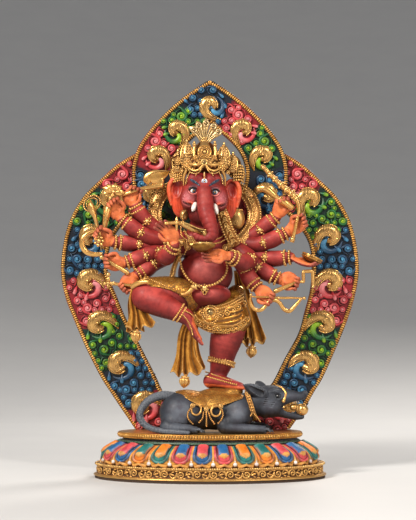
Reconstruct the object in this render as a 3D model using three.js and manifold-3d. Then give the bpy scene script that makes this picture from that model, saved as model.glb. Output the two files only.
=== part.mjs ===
// A painted cast figure of the elephant-headed deity Ganesha, about 345 mm tall. He dances on one leg
// on the back of a reclining rat, on an oval lotus pedestal, with twelve arms that each hold an
// attribute. Behind him stands a pierced halo of three plates: a pointed head ring in front of two
// curved sides. The sides end in tangs that drop into sockets in the pedestal, so the halo lifts off.
// Millimetres, +Z up, the figure faces -Y, and the origin is the middle of the underside.

import * as THREE from 'three';
import { mergeVertices } from 'three/addons/utils/BufferGeometryUtils.js';
import Module from 'manifold-3d';

const wasm = await Module();
wasm.setup();

// Driving dimensions
const GAP = 0.3; // left between neighbouring pieces
const PLINTH_HALF_WIDTH = 100;
const PEDESTAL_DEPTH_RATIO = 0.58; // the oval's depth over its width
const COVER_HEIGHT = 2;
const PLINTH_TOP = 12.5;
const LOTUS_TOP = 30;
const NECK_TOP = 34.5;
const SLAB_TOP = 39;
const PETAL_COUNT = 26;
const HALO_TOP = 346.5;
const HALO_HALF_WIDTH = 131.5;
const RING_FRONT = 13; // the head ring's front face, in Y
const RING_BACK = 18.5;
const SIDE_FRONT = 18.8; // the halo sides' front face
const SIDE_BACK = 24.5;
const TANG_DEPTH = 8; // how far a tang goes down into its socket
const TANG_LOW_X = 44;
const TANG_HIGH_X = 56;
const TANG_FRONT = 19.6;
const TANG_BACK = 23.7;
const RIVET_RADIUS = 1.6;

// Materials
function paint(color, roughness, metalness) {
  return new THREE.MeshStandardMaterial({ color, roughness, metalness });
}

const SKIN = paint(0xa53c3c, 0.45, 0);
const EAR = paint(0xe1552f, 0.5, 0);
const GOLD = paint(0xc89646, 0.35, 0.85);
const IVORY = paint(0xf1ece0, 0.4, 0);
const RAT = paint(0x3c424c, 0.5, 0);
const LOTUS = paint(0x2f7f93, 0.5, 0);
const NECK = paint(0x1f5a24, 0.5, 0);
const HALO_RED = paint(0xb93a45, 0.5, 0);
const HALO_BLUE = paint(0x2a5f8a, 0.5, 0);
const BASE = paint(0x3a2a20, 0.8, 0);

// Solids

/** A geometry with its shared vertices merged. It is done before a shape is bent or moved. */
function welded(geometry) {
  geometry.deleteAttribute('normal');
  geometry.deleteAttribute('uv');
  return mergeVertices(geometry, 1e-4);
}

/** The closed solid of a welded geometry, facing outwards whichever way it was wound. */
function toSolid(geometry) {
  const index = geometry.index.array;
  const position = geometry.attributes.position.array;
  const faces = [];
  let volume = 0;
  const [a, b, c] = [new THREE.Vector3(), new THREE.Vector3(), new THREE.Vector3()];
  for (let i = 0; i < index.length; i += 3) {
    const [p, q, r] = [index[i], index[i + 1], index[i + 2]];
    if (p === q || q === r || r === p) continue;
    faces.push(p, q, r);
    a.fromArray(position, p * 3);
    b.fromArray(position, q * 3);
    c.fromArray(position, r * 3);
    volume += a.dot(b.cross(c));
  }
  if (volume < 0) faces.reverse();
  const mesh = new wasm.Mesh({
    numProp: 3,
    vertProperties: new Float32Array(position),
    triVerts: new Uint32Array(faces),
  });
  return new wasm.Manifold(mesh);
}

/** The geometry of a solid, for its mesh. */
function toGeometry(solid) {
  const mesh = solid.getMesh();
  const geometry = new THREE.BufferGeometry();
  geometry.setAttribute('position', new THREE.BufferAttribute(mesh.vertProperties, 3));
  geometry.setIndex(new THREE.BufferAttribute(mesh.triVerts, 1));
  geometry.computeVertexNormals();
  return geometry;
}

/** The largest connected piece of a solid, so that no sliver is left beside it after a cut. */
function largestPiece(solid) {
  const pieces = solid.decompose();
  pieces.sort((one, other) => other.volume() - one.volume());
  return pieces[0];
}

// Shapes: each is a function of grow, the distance by which its surface stands outside the real one.
// A piece is cut with its neighbours' grown shapes, which leaves the gap between them.

/** A rounded body along a smooth path. Its section is a circle, or an oval that is thin across. */
function limb(points, radii, { sides = 6, steps = 1, side = [0, 1, 0], thin = 1 } = {}) {
  const curve = new THREE.CatmullRomCurve3(points.map((point) => new THREE.Vector3(...point)));
  const last = (points.length - 1) * steps;
  const hint = new THREE.Vector3(...side);
  const rings = [];
  for (let i = 0; i <= last; i += 1) {
    const t = i / last;
    const centre = curve.getPoint(t);
    const along = curve.getTangent(t);
    const across = hint.clone().addScaledVector(along, -hint.dot(along)).normalize();
    const other = along.clone().cross(across);
    const at = Math.min(t * (radii.length - 1), radii.length - 1 - 1e-6);
    const radius = THREE.MathUtils.lerp(radii[Math.floor(at)], radii[Math.floor(at) + 1], at % 1);
    rings.push({ centre, along, across, other, radius });
  }
  return (grow) => {
    const profile = [new THREE.Vector2(0, 0), new THREE.Vector2(1, 1)];
    for (let i = 0; i <= last; i += 1) profile.push(new THREE.Vector2(1, i + 2));
    profile.push(new THREE.Vector2(1, last + 3), new THREE.Vector2(0, last + 4));
    const geometry = welded(new THREE.LatheGeometry(profile, sides));
    const position = geometry.attributes.position;
    const at = new THREE.Vector3();
    for (let i = 0; i < position.count; i += 1) {
      const level = Math.round(position.getY(i));
      const ring = rings[THREE.MathUtils.clamp(level - 2, 0, last)];
      const radius = ring.radius + grow;
      const cap = [-1, -0.7, 0][level] ?? [0, 0.7, 1][level - last - 2] ?? 0;
      const swell = Math.abs(cap) === 0.7 ? 0.7 : 1;
      const height = thin < 1 ? ring.radius * thin + grow : radius;
      at.copy(ring.centre);
      at.addScaledVector(ring.along, cap * Math.min(radius, height));
      at.addScaledVector(ring.across, position.getX(i) * swell * height);
      at.addScaledVector(ring.other, position.getZ(i) * swell * radius);
      position.setXYZ(i, at.x, at.y, at.z);
    }
    return toSolid(geometry);
  };
}

/** An ellipsoid, which may be turned about Y by tilt degrees. */
function ball(centre, radii, { tilt = 0, sides = 10, bands = 6 } = {}) {
  return (grow) => {
    const geometry = welded(new THREE.SphereGeometry(1, sides, bands));
    geometry.rotateX(Math.PI / 2);
    geometry.scale(radii[0] + grow, radii[1] + grow, radii[2] + grow);
    geometry.rotateY(THREE.MathUtils.degToRad(tilt));
    geometry.translate(...centre);
    return toSolid(geometry);
  };
}

/** An oval tier of the pedestal: a turned profile of [radius, height] pairs, flattened front to back. */
function tier(profile, { segments = 36, petals = 0, swell = 0 } = {}) {
  return (grow) => {
    const points = profile.map(([radius, height], i) => {
      const lift = i < profile.length / 2 ? -grow : grow;
      return new THREE.Vector2(radius > 0 ? radius + grow : 0, height + lift);
    });
    const geometry = welded(new THREE.LatheGeometry(points, segments));
    geometry.rotateX(Math.PI / 2);
    const position = geometry.attributes.position;
    for (let i = 0; i < position.count; i += 1) {
      const x = position.getX(i);
      const y = position.getY(i);
      const wave = 1 + swell * Math.cos(Math.atan2(y, x) * petals);
      position.setXY(i, x * wave, y * wave * PEDESTAL_DEPTH_RATIO);
    }
    return toSolid(geometry);
  };
}

/** Points in the wanted direction: an outline runs anticlockwise, and a hole in it clockwise. */
function wound(points, clockwise) {
  return THREE.ShapeUtils.isClockWise(points) === clockwise ? points : [...points].reverse();
}

/** An upright plate: an outline in X and Z, with holes, between two depths in Y. */
function plate(outline, front, back, holes = []) {
  return (grow) => {
    const shape = new THREE.Shape(wound(outline, false));
    for (const hole of holes) shape.holes.push(new THREE.Path(wound(hole, true)));
    const depth = back - front + 2 * grow;
    const geometry = welded(new THREE.ExtrudeGeometry(shape, { depth, bevelEnabled: false }));
    geometry.rotateX(Math.PI / 2);
    geometry.translate(0, back + grow, 0);
    return toSolid(geometry);
  };
}

/** A straight block between two corners. */
function block(low, high) {
  return (grow) => {
    const size = high.map((value, i) => value - low[i] + 2 * grow);
    const geometry = welded(new THREE.BoxGeometry(...size));
    geometry.translate(...low.map((value, i) => (value + high[i]) / 2));
    return toSolid(geometry);
  };
}

/** A round pin along Y. */
function pin(x, z, radius, front, back) {
  return (grow) => {
    const length = back - front + 2 * grow;
    const geometry = welded(new THREE.CylinderGeometry(radius + grow, radius + grow, length, 8));
    geometry.translate(x, (front + back) / 2, z);
    return toSolid(geometry);
  };
}

function join(...shapes) {
  return (grow) => shapes.map((shape) => shape(grow)).reduce((sum, next) => sum.add(next));
}

function cut(shape, ...cutters) {
  return (grow) => cutters.reduce((left, cutter) => left.subtract(cutter(0)), shape(grow));
}

function common(shape, limit) {
  return (grow) => shape(grow).intersect(limit(grow));
}

// Assembly

const group = new THREE.Group();
const placed = [];

function overlaps(one, other) {
  return [0, 1, 2].every((i) => one.min[i] <= other.max[i] && other.min[i] <= one.max[i]);
}

/** Adds a piece, cut back by the pieces that were placed before it. */
function place(name, material, shape) {
  let solid = shape(0);
  for (const earlier of placed) {
    if (overlaps(solid.boundingBox(), earlier.box)) solid = solid.subtract(earlier.grown);
  }
  const mesh = new THREE.Mesh(toGeometry(largestPiece(solid)), material);
  mesh.name = name;
  group.add(mesh);
  const grown = shape(GAP);
  placed.push({ grown, box: grown.boundingBox() });
}

const mirrored = (points) => points.map(([x, ...rest]) => [-x, ...rest]);

// Pedestal

function socket(side) {
  const xs = [TANG_LOW_X * side, TANG_HIGH_X * side].sort((a, b) => a - b);
  const low = [xs[0] - GAP, TANG_FRONT - GAP, SLAB_TOP - TANG_DEPTH - GAP];
  return block(low, [xs[1] + GAP, TANG_BACK + GAP, SLAB_TOP + 5]);
}

const sockets = [socket(1), socket(-1)];

place('base_cover', BASE, tier([[0, 0], [99, 0], [99, COVER_HEIGHT], [0, COVER_HEIGHT]]));

place('plinth_band', GOLD, tier([
  [0, COVER_HEIGHT + GAP],
  [PLINTH_HALF_WIDTH, COVER_HEIGHT + GAP],
  [PLINTH_HALF_WIDTH, 4.5],
  [96, 6],
  [95.4, 8],
  [96.5, 10],
  [98.5, 11],
  [98.5, PLINTH_TOP],
  [0, PLINTH_TOP],
]));

place('lotus_tier', LOTUS, tier([
  [0, PLINTH_TOP + GAP],
  [90, PLINTH_TOP + GAP],
  [93, 16],
  [92.5, 20],
  [88, 25],
  [79, 29],
  [76, LOTUS_TOP],
  [0, LOTUS_TOP],
], { segments: PETAL_COUNT * 2, petals: PETAL_COUNT, swell: 0.014 }));

place('pedestal_neck', NECK, cut(tier([
  [0, LOTUS_TOP + GAP],
  [77, LOTUS_TOP + GAP],
  [78, 32],
  [75, 32.6],
  [75, NECK_TOP],
  [0, NECK_TOP],
]), ...sockets));

place('top_slab', GOLD, cut(tier([
  [0, NECK_TOP + GAP],
  [77.5, NECK_TOP + GAP],
  [79.5, 36],
  [79, 38.3],
  [77, SLAB_TOP],
  [0, SLAB_TOP],
]), ...sockets));

// Halo

/** A smooth line through hand-set points. */
function smooth(points, count) {
  return new THREE.SplineCurve(points.map((point) => new THREE.Vector2(...point))).getPoints(count);
}

/** A closed outline from its right half, which runs from the top of the middle line to its foot. */
function bothSides(half) {
  const left = half.slice(1, -1).reverse().map((point) => new THREE.Vector2(-point.x, point.y));
  return [...half, ...left];
}

const ringOutline = bothSides(smooth([
  [0, HALO_TOP],
  [9, 341.8],
  [21.4, 333.2],
  [33.8, 323],
  [45.8, 311],
  [55.2, 299.8],
  [62.6, 288.6],
  [67, 277],
  [68.8, 266],
  [68, 250],
  [64, 237],
  [53, 223],
  [30, 211],
  [0, 207],
], 24));

const ringHole = bothSides(smooth([
  [0, 308],
  [10, 299.6],
  [18, 292.4],
  [24.5, 285],
  [29.2, 276],
  [31.6, 266],
  [30.6, 256],
  [27, 247],
  [18, 238],
  [0, 234],
], 16));

const SIDE_FOOT = SLAB_TOP + GAP;

// The upper parts of the two sides mirror each other, and their feet do not.
const sideOuterTop = [
  [58, 287],
  [80, 274],
  [95, 261],
  [113.5, 242],
  [126, 217],
  [HALO_HALF_WIDTH, 183],
  [128, 157],
];
const sideInnerTop = [
  [90, 176],
  [89, 197],
  [82, 213],
  [66, 230],
  [48, 240],
];
const outerFeet = {
  left: [[120, 132], [110, 108], [99, 84], [91, 71], [84, 59], [70, SIDE_FOOT]],
  right: [[118.5, 132], [108, 108], [95.5, 84], [87, 71], [79, 59], [65.5, SIDE_FOOT]],
};
const innerFeet = {
  left: [[31, SIDE_FOOT], [50.5, 73], [57, 83], [66, 101], [78, 123], [83.5, 142], [88, 159]],
  right: [[23, SIDE_FOOT], [40, 69], [47.5, 85], [56.7, 103], [65.9, 121], [75, 138], [82.4, 156]],
};

const RIVET_X = 57;
const RIVET_Z = 258;

function haloSide(label, side) {
  const outer = smooth([...sideOuterTop, ...outerFeet[label]], 28);
  const inner = smooth([...innerFeet[label], ...sideInnerTop], 26);
  const outline = [...outer, ...inner].map((point) => new THREE.Vector2(point.x * side, point.y));
  const body = plate(outline, SIDE_FRONT, SIDE_BACK);
  const xs = [TANG_LOW_X * side, TANG_HIGH_X * side].sort((a, b) => a - b);
  const tang = block([xs[0], TANG_FRONT, SLAB_TOP - TANG_DEPTH], [xs[1], TANG_BACK, SLAB_TOP + 4]);
  const hole = pin(RIVET_X * side, RIVET_Z, RIVET_RADIUS + GAP, SIDE_FRONT - 1, SIDE_BACK + 1);
  return cut(join(body, tang), hole);
}

const rivetHoles = [1, -1].map((side) =>
  pin(RIVET_X * side, RIVET_Z, RIVET_RADIUS + GAP, RING_FRONT + 2, RING_BACK + 1));

place('halo_head_ring', HALO_BLUE, cut(plate(ringOutline, RING_FRONT, RING_BACK, [ringHole]), ...rivetHoles));
place('halo_right_side', HALO_RED, haloSide('right', -1));
place('halo_left_side', HALO_RED, haloSide('left', 1));

for (const [label, side] of [['right', -1], ['left', 1]]) {
  const shank = pin(RIVET_X * side, RIVET_Z, RIVET_RADIUS, RING_FRONT + 2 + GAP, SIDE_BACK + 1);
  const head = pin(RIVET_X * side, RIVET_Z, RIVET_RADIUS + 1.4, SIDE_BACK + GAP, SIDE_BACK + 1.6);
  place(`halo_${label}_rivet`, GOLD, join(shank, head));
}

// Rat

place('rat_body', RAT, join(
  ball([-20, -14, 55], [24, 20, 19], { tilt: 8 }),
  ball([6, -14, 56], [26, 17, 17], { tilt: -4 }),
  ball([25, -14, 55], [13, 16, 14]),
  limb([[-27, -26, 48], [-34, -32, 44], [-20, -36, 42.5], [-8, -38, 42.5]], [10, 8, 4.5, 3]),
  limb([[24, -26, 52], [12, -32, 44], [30, -34, 42.6], [50, -34, 42.4]], [9, 6, 4, 3]),
  limb([[28, 0, 52], [20, 6, 44], [36, 8, 42.6], [52, 8, 42.4]], [9, 6, 4, 3]),
  limb([[-27, 0, 48], [-32, 6, 44], [-18, 10, 42.5], [-8, 10, 42.5]], [9, 7, 4.5, 3]),
));

place('rat_head', RAT, join(
  limb([[33, -14, 60], [45, -14, 66], [60, -14, 69.5], [72, -14, 70.5], [80, -14, 71]], [12, 12, 8.5, 5, 3]),
  limb([[48, -14, 61], [60, -14, 57], [70, -14, 53], [78, -14, 52]], [9, 5, 3.4, 2.4], { thin: 0.9 }),
  ball([35, -23, 75], [9, 2.6, 5.4], { tilt: 28 }),
  ball([41, -5, 77], [7.5, 2.6, 5], { tilt: 36 }),
));

place('rat_collar', GOLD, limb(
  [[35, -30, 60], [31, -22, 73], [31, -6, 73], [35, 1, 60], [38, -6, 48], [38, -22, 48], [35, -30, 60]],
  [1.7, 1.7, 1.7, 1.7, 1.7, 1.7, 1.7],
  { side: [1, 0, 0], steps: 2 },
));

place('rat_tail', RAT, limb(
  [[-34, -12, 69], [-47, -14, 68.5], [-57, -17, 61], [-59, -21, 52], [-53, -28, 45], [-38, -38, 42.4],
    [-20, -43, 41.6]],
  [4, 3.4, 3, 2.8, 2.5, 2.1, 1.6],
));

const saddleWedge = plate([
  new THREE.Vector2(-36, 80),
  new THREE.Vector2(-36, 72),
  new THREE.Vector2(-18, 66),
  new THREE.Vector2(-2, 58),
  new THREE.Vector2(14, 64),
  new THREE.Vector2(30, 66),
  new THREE.Vector2(32, 80),
], -40, 12);

place('saddle_cloth', GOLD, common(join(
  ball([-20, -14, 55], [26, 22, 21], { tilt: 8 }),
  ball([6, -14, 56], [28, 19, 19], { tilt: -4 }),
  ball([25, -14, 55], [15, 18, 16]),
), saddleWedge));

place('wish_jewel', GOLD, join(
  ball([78.5, -14.5, 58.6], [5, 5, 5]),
  ball([71.4, -14.5, 60.4], [4.5, 2.6, 2.6]),
));

// Legs, cloths and torso

place('standing_leg', SKIN, join(
  limb([[15, -2, 148], [19, -6, 136], [18, -9, 125], [12, -7, 112], [9, -4, 100], [7, -5, 87]],
    [15.5, 15, 13.2, 11, 9, 7.6]),
  limb([[-1, -4, 82], [10, -10, 82.4], [20, -15, 81], [28, -18, 79.8]], [6, 6.8, 5.8, 3.8]),
));

place('hip_cloth', GOLD, join(
  ball([10, -6, 140], [22, 18, 15]),
  limb([[-4, -12, 138], [8, -18, 131], [24, -14, 128]], [9, 7, 6], { steps: 2 }),
));

place('raised_leg', SKIN, join(
  limb([[-14, -10, 150], [-34, -18, 156], [-54, -25, 154]], [13, 13, 11.5]),
  limb([[-54, -25, 154], [-40, -32, 146], [-20, -38, 138]], [11.5, 9, 6.4]),
  limb([[-20, -38, 136], [-14, -39, 126], [-7, -40, 115]], [6.2, 5.4, 3.4], { thin: 0.8 }),
));

place('thigh_cloth', GOLD, limb(
  [[-23, -14, 155], [-36, -19, 158], [-50, -24, 158]],
  [15.5, 14.5, 13],
));

place('torso', SKIN, join(
  ball([-4, -7, 172], [24, 21, 24]),
  ball([2, -8, 156], [20, 18, 11]),
  ball([-3, -4, 198], [27, 14, 15]),
  ball([-34, 0, 200], [16, 10, 15], { tilt: 20 }),
  ball([30, 0, 196], [14, 10, 16], { tilt: -20 }),
));

// Head

place('head', SKIN, join(
  ball([-5, -14, 244], [19.5, 18, 19.5]),
  ball([-16, -22, 231], [8, 9, 9]),
  ball([6, -22, 230], [8, 9, 9]),
  ball([-5, -24, 253], [12, 8, 8]),
  limb(
    [[-5, -26, 247], [-3.5, -34, 234], [-1, -40, 222], [2, -42, 213], [1, -43, 206], [-5, -44, 203],
      [-11, -44, 206], [-14, -43, 210]],
    [8.5, 8, 7, 6.4, 5.4, 4.4, 3.4, 2.4],
    { sides: 8, steps: 2 },
  ),
));

place('ear_right', EAR, limb([[-25, -12, 253], [-30, -11, 243], [-28, -13, 229]], [5, 7.5, 3.6], { thin: 0.42 }));
place('ear_left', EAR, limb([[16, -12, 251], [21, -11, 240], [19, -13, 226]], [5, 7.5, 3.6], { thin: 0.42 }));
place('tusk_right', IVORY, limb([[-12, -32, 233], [-14, -36, 227]], [1.9, 1], { sides: 6 }));
place('tusk_left', IVORY, limb([[4, -32, 231], [6, -36, 224]], [1.9, 1], { sides: 6 }));

const crownLeaves = [[-24, 279], [-17, 286], [-4, 288], [11, 285], [19, 278]];

place('crown', GOLD, join(
  ball([-4, -13, 264], [29, 20, 7]),
  ball([-4, -13, 270], [22, 17, 14]),
  ...crownLeaves.map(([x, z]) => limb([[x * 0.9, -20, 264], [x, -23, z - 8], [x, -21, z]], [6.5, 5, 1.4],
    { thin: 0.5 })),
  ball([26, -8, 262], [5, 4, 6]),
));

const hoods = [[-15, 300], [-9.5, 303.5], [-3.5, 305.5], [3, 303], [8, 299]];

place('naga_crest', GOLD, join(
  ...hoods.map(([x, z]) => limb([[-4 + (x + 4) * 0.25, -12, 280], [(x - 4) / 2, -11, 291], [x, -12, z]],
    [3.4, 3, 3.6], { thin: 0.7 })),
));

// Scarf, thread, beads and sashes

const scarfOptions = { steps: 2, thin: 0.5 };

place('scarf_right', GOLD, limb(
  [[-33, 2, 250], [-44, 0, 240], [-48, -2, 226], [-45, -6, 214], [-36, -12, 205], [-24, -18, 198]],
  [3, 4, 4.6, 4.8, 4.8, 4.2],
  scarfOptions,
));

place('scarf_left', GOLD, limb(
  [[26, 2, 250], [35, 0, 239], [38, -2, 226], [35, -6, 213], [27, -12, 203], [18, -18, 197]],
  [3, 4, 4.6, 4.8, 4.8, 4.2],
  scarfOptions,
));

place('serpent_thread', GOLD, limb(
  [[-27, -16, 186], [-31, -19, 170], [-27, -24, 158], [-17, -30, 159]],
  [2.2, 2.2, 2.2, 2.8],
  { steps: 2 },
));

place('belly_beads', GOLD, limb(
  [[-23, -22, 184], [-20, -27, 172], [-7, -30.5, 163], [8, -28, 169], [13, -24, 182]],
  [1.6, 1.6, 1.6, 1.6, 1.6],
  { steps: 2 },
));

place('knee_sash', GOLD, limb(
  [[-62, -25, 163], [-61, -26, 150], [-58, -27, 136], [-57, -27, 126]],
  [4, 7, 11.5, 12.5],
  { thin: 0.28 },
));

place('centre_sash', GOLD, limb(
  [[-19, -12, 128], [-19, -11, 112], [-19, -11, 98], [-19, -12, 88]],
  [6, 9, 12.5, 13.5],
  { thin: 0.26 },
));

place('side_sash', GOLD, limb(
  [[25, 2, 170], [30, 4, 150], [36, 5, 130], [38, 5, 116]],
  [6, 8, 11, 11.5],
  { thin: 0.26 },
));

// Attributes, each one held in a hand

place('axe', GOLD, join(
  limb([[-42, -12, 249], [-62, -12, 245], [-82, -12, 241]], [1.8, 1.8, 1.8]),
  limb([[-54, -12, 246], [-44, -12, 256], [-36, -12, 258]], [3, 9, 6], { thin: 0.25 }),
));
place('vajra', GOLD, join(
  limb([[-91, -14, 250], [-84, -14, 245], [-78, -14, 239]], [3, 1.8, 3]),
  limb([[-90, -14, 239], [-84, -14, 245], [-79, -14, 252]], [2.4, 1.6, 2.4]),
  limb([[-84, -14, 245], [-88, -14, 231]], [1.6, 1.6], { steps: 2 }),
));
place('sword', GOLD, join(
  limb([[-93, -14, 205], [-97, -14, 215], [-105, -14, 238]], [1.8, 2.8, 1], { thin: 0.4 }),
  limb([[-96, -14, 213], [-92, -14, 222], [-88, -14, 233]], [2, 2.4, 1], { thin: 0.4 }),
));
place('goad', GOLD, limb(
  [[-97, -16, 213], [-107, -16, 207], [-109, -16, 199], [-104, -16, 191], [-91, -16, 189]],
  [1.6, 2.2, 2.4, 2.2, 1.6],
  { thin: 0.7 },
));
place('arrow_rod', GOLD, limb([[-97, -16, 184], [-84, -16, 180], [-70, -16, 175]], [1.6, 1.6, 1.6]));
place('bent_rod', GOLD, limb([[-88, -16, 171], [-80, -16, 165], [-66, -16, 165], [-53, -16, 169], [-48, -16, 163]],
  [2.8, 1.8, 1.8, 1.8, 1.6]));
place('curved_knife', GOLD, limb([[-38, -46, 217], [-30, -47, 209], [-17, -48, 204], [-5, -47, 208]],
  [1.6, 3.6, 3.6, 1.2], { thin: 0.4 }));
place('skull_bowl', GOLD, cut(ball([-5, -50, 197], [9.5, 8, 7.5]), block([-20, -62, 199], [10, -38, 210])));
place('club', GOLD, limb([[44, -10, 250], [56, -12, 243], [70, -14, 232]], [4, 2.6, 1.8]));
place('staff', GOLD, limb([[45, -8, 268], [60, -11, 252], [75, -14, 238], [77, -15, 226], [70, -15, 201]],
  [1.6, 4.2, 3, 1.6, 1.4]));
place('bowl', GOLD, cut(ball([88, -16, 190], [9, 8, 8]), block([70, -30, 193], [105, 0, 205])));
place('hook_rod', GOLD, join(
  limb([[54, -14, 159], [66, -14, 165], [78, -14, 172]], [1.6, 1.6, 1.6]),
  limb([[76, -14, 171], [82, -14, 178], [88, -14, 172], [82, -14, 166]], [1.6, 1.8, 1.8, 1.4], { steps: 2 }),
));
place('bow', GOLD, join(
  limb([[34, -22, 156], [36, -22, 147], [43, -22, 143], [50, -22, 150], [57, -22, 152], [64, -22, 147], [72, -22, 143],
    [80, -22, 151]], [1.4, 1.8, 2, 2, 2.2, 2, 1.8, 1.2]),
  limb([[36, -22, 154], [58, -22, 154.5], [79, -22, 151.5]], [0.9, 0.9, 0.9]),
));

// Arms: each runs from the shoulder through the elbow to the wrist, and ends in a hand.

const UPPER_ARM_RADII = [7, 6.4, 5.8];
const FOREARM_RADII = [5.8, 4.4];

function arm(path, hand, fingers) {
  const palm = limb([path.at(-1), hand], [4.2, 5.6], { thin: 0.62 });
  const tips = limb([hand, fingers], [5, 2.4], { thin: 0.6 });
  const upper = limb(path.slice(0, 3), UPPER_ARM_RADII);
  const fore = limb(path.slice(2), FOREARM_RADII);
  return join(upper, fore, palm, tips);
}

const rightArms = [
  [[[-28, -14, 196], [-40, -20, 190], [-35, -30, 186], [-27, -38, 199]], [-31, -41, 209], [-25, -43, 214]],
  [[[-36, -2, 206], [-50, -5, 215], [-61, -8, 228], [-67, -10, 235]], [-68, -11, 244], [-67, -12, 252]],
  [[[-38, -6, 202], [-54, -10, 206], [-67, -12, 214], [-77, -13, 220]], [-86, -14, 227], [-91, -14, 233]],
  [[[-38, -3, 198], [-55, -6, 199], [-69, -9, 200], [-82, -12, 202]], [-90, -14, 206], [-96, -14, 210]],
  [[[-38, -6, 194], [-51, -11, 191], [-62, -13, 188], [-73, -14, 184]], [-83, -16, 184], [-92, -16, 186]],
  [[[-36, -4, 190], [-47, -8, 184], [-54, -12, 178], [-62, -14, 172]], [-70, -16, 166], [-78, -16, 162]],
];
const leftArms = [
  [[[24, -14, 194], [34, -22, 184], [25, -32, 180], [14, -42, 188]], [4, -47, 190], [-4, -50, 188]],
  [[[30, -2, 204], [40, -5, 209], [49, -8, 217], [57, -10, 225]], [61, -12, 233], [62, -12, 241]],
  [[[32, -6, 200], [41, -9, 199], [53, -12, 202], [65, -13, 209]], [73, -14, 217], [78, -15, 224]],
  [[[32, -3, 194], [42, -6, 189], [54, -9, 186], [67, -12, 187]], [79, -15, 184], [89, -16, 182]],
  [[[30, -6, 190], [38, -10, 181], [47, -12, 175], [56, -13, 170]], [66, -14, 167], [75, -14, 164]],
  [[[26, -10, 186], [30, -14, 178], [33, -18, 170], [39, -20, 162]], [46, -22, 156], [53, -22, 150]],
];

for (const [label, arms] of [['right', rightArms], ['left', leftArms]]) {
  arms.forEach(([path, hand, fingers], i) => {
    place(`arm_${label}_${i + 1}`, SKIN, arm(path, hand, fingers));
  });
}

export default group;
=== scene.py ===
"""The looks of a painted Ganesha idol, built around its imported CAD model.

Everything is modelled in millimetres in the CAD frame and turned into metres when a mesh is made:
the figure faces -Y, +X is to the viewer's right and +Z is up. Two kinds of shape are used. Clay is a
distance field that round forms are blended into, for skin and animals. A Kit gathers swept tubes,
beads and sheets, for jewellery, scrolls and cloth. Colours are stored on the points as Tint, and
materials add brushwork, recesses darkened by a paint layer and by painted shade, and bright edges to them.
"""

import math

import bpy
import numpy as np
import openvdb
from mathutils import Matrix, Vector


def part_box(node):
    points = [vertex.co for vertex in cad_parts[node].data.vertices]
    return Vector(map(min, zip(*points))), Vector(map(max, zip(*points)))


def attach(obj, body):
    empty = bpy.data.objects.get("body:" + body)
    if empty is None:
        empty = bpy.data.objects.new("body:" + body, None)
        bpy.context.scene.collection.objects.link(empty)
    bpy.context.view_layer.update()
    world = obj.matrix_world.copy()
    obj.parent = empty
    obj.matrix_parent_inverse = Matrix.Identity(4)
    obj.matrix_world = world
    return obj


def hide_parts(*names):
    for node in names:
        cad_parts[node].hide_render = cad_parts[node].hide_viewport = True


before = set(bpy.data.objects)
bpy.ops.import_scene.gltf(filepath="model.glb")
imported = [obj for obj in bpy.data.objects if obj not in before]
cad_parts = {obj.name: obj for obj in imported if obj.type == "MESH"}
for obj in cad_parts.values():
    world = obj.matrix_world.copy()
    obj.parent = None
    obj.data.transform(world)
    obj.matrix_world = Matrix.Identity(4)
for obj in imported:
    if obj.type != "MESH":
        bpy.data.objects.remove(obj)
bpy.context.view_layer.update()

MM = 0.001
VOXEL = 0.45
FINE_VOXEL = min(VOXEL, 0.4)


def srgb(red, green, blue):
    """A linear colour from 0 to 255 display values."""
    values = np.array([red, green, blue], float) / 255
    return np.where(values <= 0.04045, values / 12.92, ((values + 0.055) / 1.055) ** 2.4)


SKIN = srgb(152, 42, 38)
# Painted shade on the red skin, for creases, undersides and the sides turned from the light.
SKIN_SHADE = srgb(74, 12, 16)
PALM = srgb(226, 122, 66)
EAR = srgb(228, 78, 38)
IVORY = srgb(240, 232, 218)
RAT = srgb(50, 55, 64)
RAT_LIGHT = srgb(98, 104, 114)
GOLD = srgb(218, 156, 66)
AMBER = srgb(214, 140, 40)
GOLD_EDGE = srgb(224, 172, 88)
GOLD_DEEP = srgb(150, 92, 34)
GOLD_PALE = srgb(228, 182, 104)
WHITE = srgb(242, 240, 235)
BLACK = srgb(14, 12, 14)
SOLE = srgb(224, 108, 58)
# Painted highlight on the red skin, where the light falls on rounded forms.
SKIN_HIGHLIGHT = srgb(204, 84, 76)
BROW_BLUE = srgb(44, 62, 82)
LIP = srgb(226, 84, 44)
BRONZE = srgb(168, 122, 52)
HAND_DARK = srgb(112, 28, 28)
# Painted shade on the rat, under its barrel and its neck.
RAT_SHADE = srgb(30, 32, 38)
# Painted highlight on the rat's haunch, shoulder, legs and head.
RAT_HIGHLIGHT = srgb(118, 124, 136)
RED = {"ground": srgb(136, 24, 32), "curl": srgb(200, 62, 68), "light": srgb(240, 156, 158)}
GREEN = {"ground": srgb(8, 42, 32), "curl": srgb(22, 98, 44), "light": srgb(156, 200, 26)}
BLUE = {"ground": srgb(14, 24, 38), "curl": srgb(24, 68, 102), "light": srgb(78, 150, 190)}


# ---------------------------------------------------------------- vectors and curves

def unit(vector):
    """A vector of length 1 with the same direction."""
    vector = np.asarray(vector, float)
    return vector / np.linalg.norm(vector)


def smooth_path(points, samples):
    """A Catmull-Rom curve through the points, which may carry any number of values each."""
    points = np.asarray(points, float)
    if len(points) == 2:
        share = np.linspace(0, 1, samples)[:, None]
        return points[0] * (1 - share) + points[1] * share
    padded = np.vstack([2 * points[0] - points[1], points, 2 * points[-1] - points[-2]])
    place = np.linspace(0, len(points) - 1, samples)
    start = np.minimum(place.astype(int), len(points) - 2)
    t = (place - start)[:, None]
    a, b, c, d = (padded[start + i] for i in range(4))
    return 0.5 * (2 * b + (c - a) * t + (2 * a - 5 * b + 4 * c - d) * t**2 + (3 * b - a - 3 * c + d) * t**3)


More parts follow.
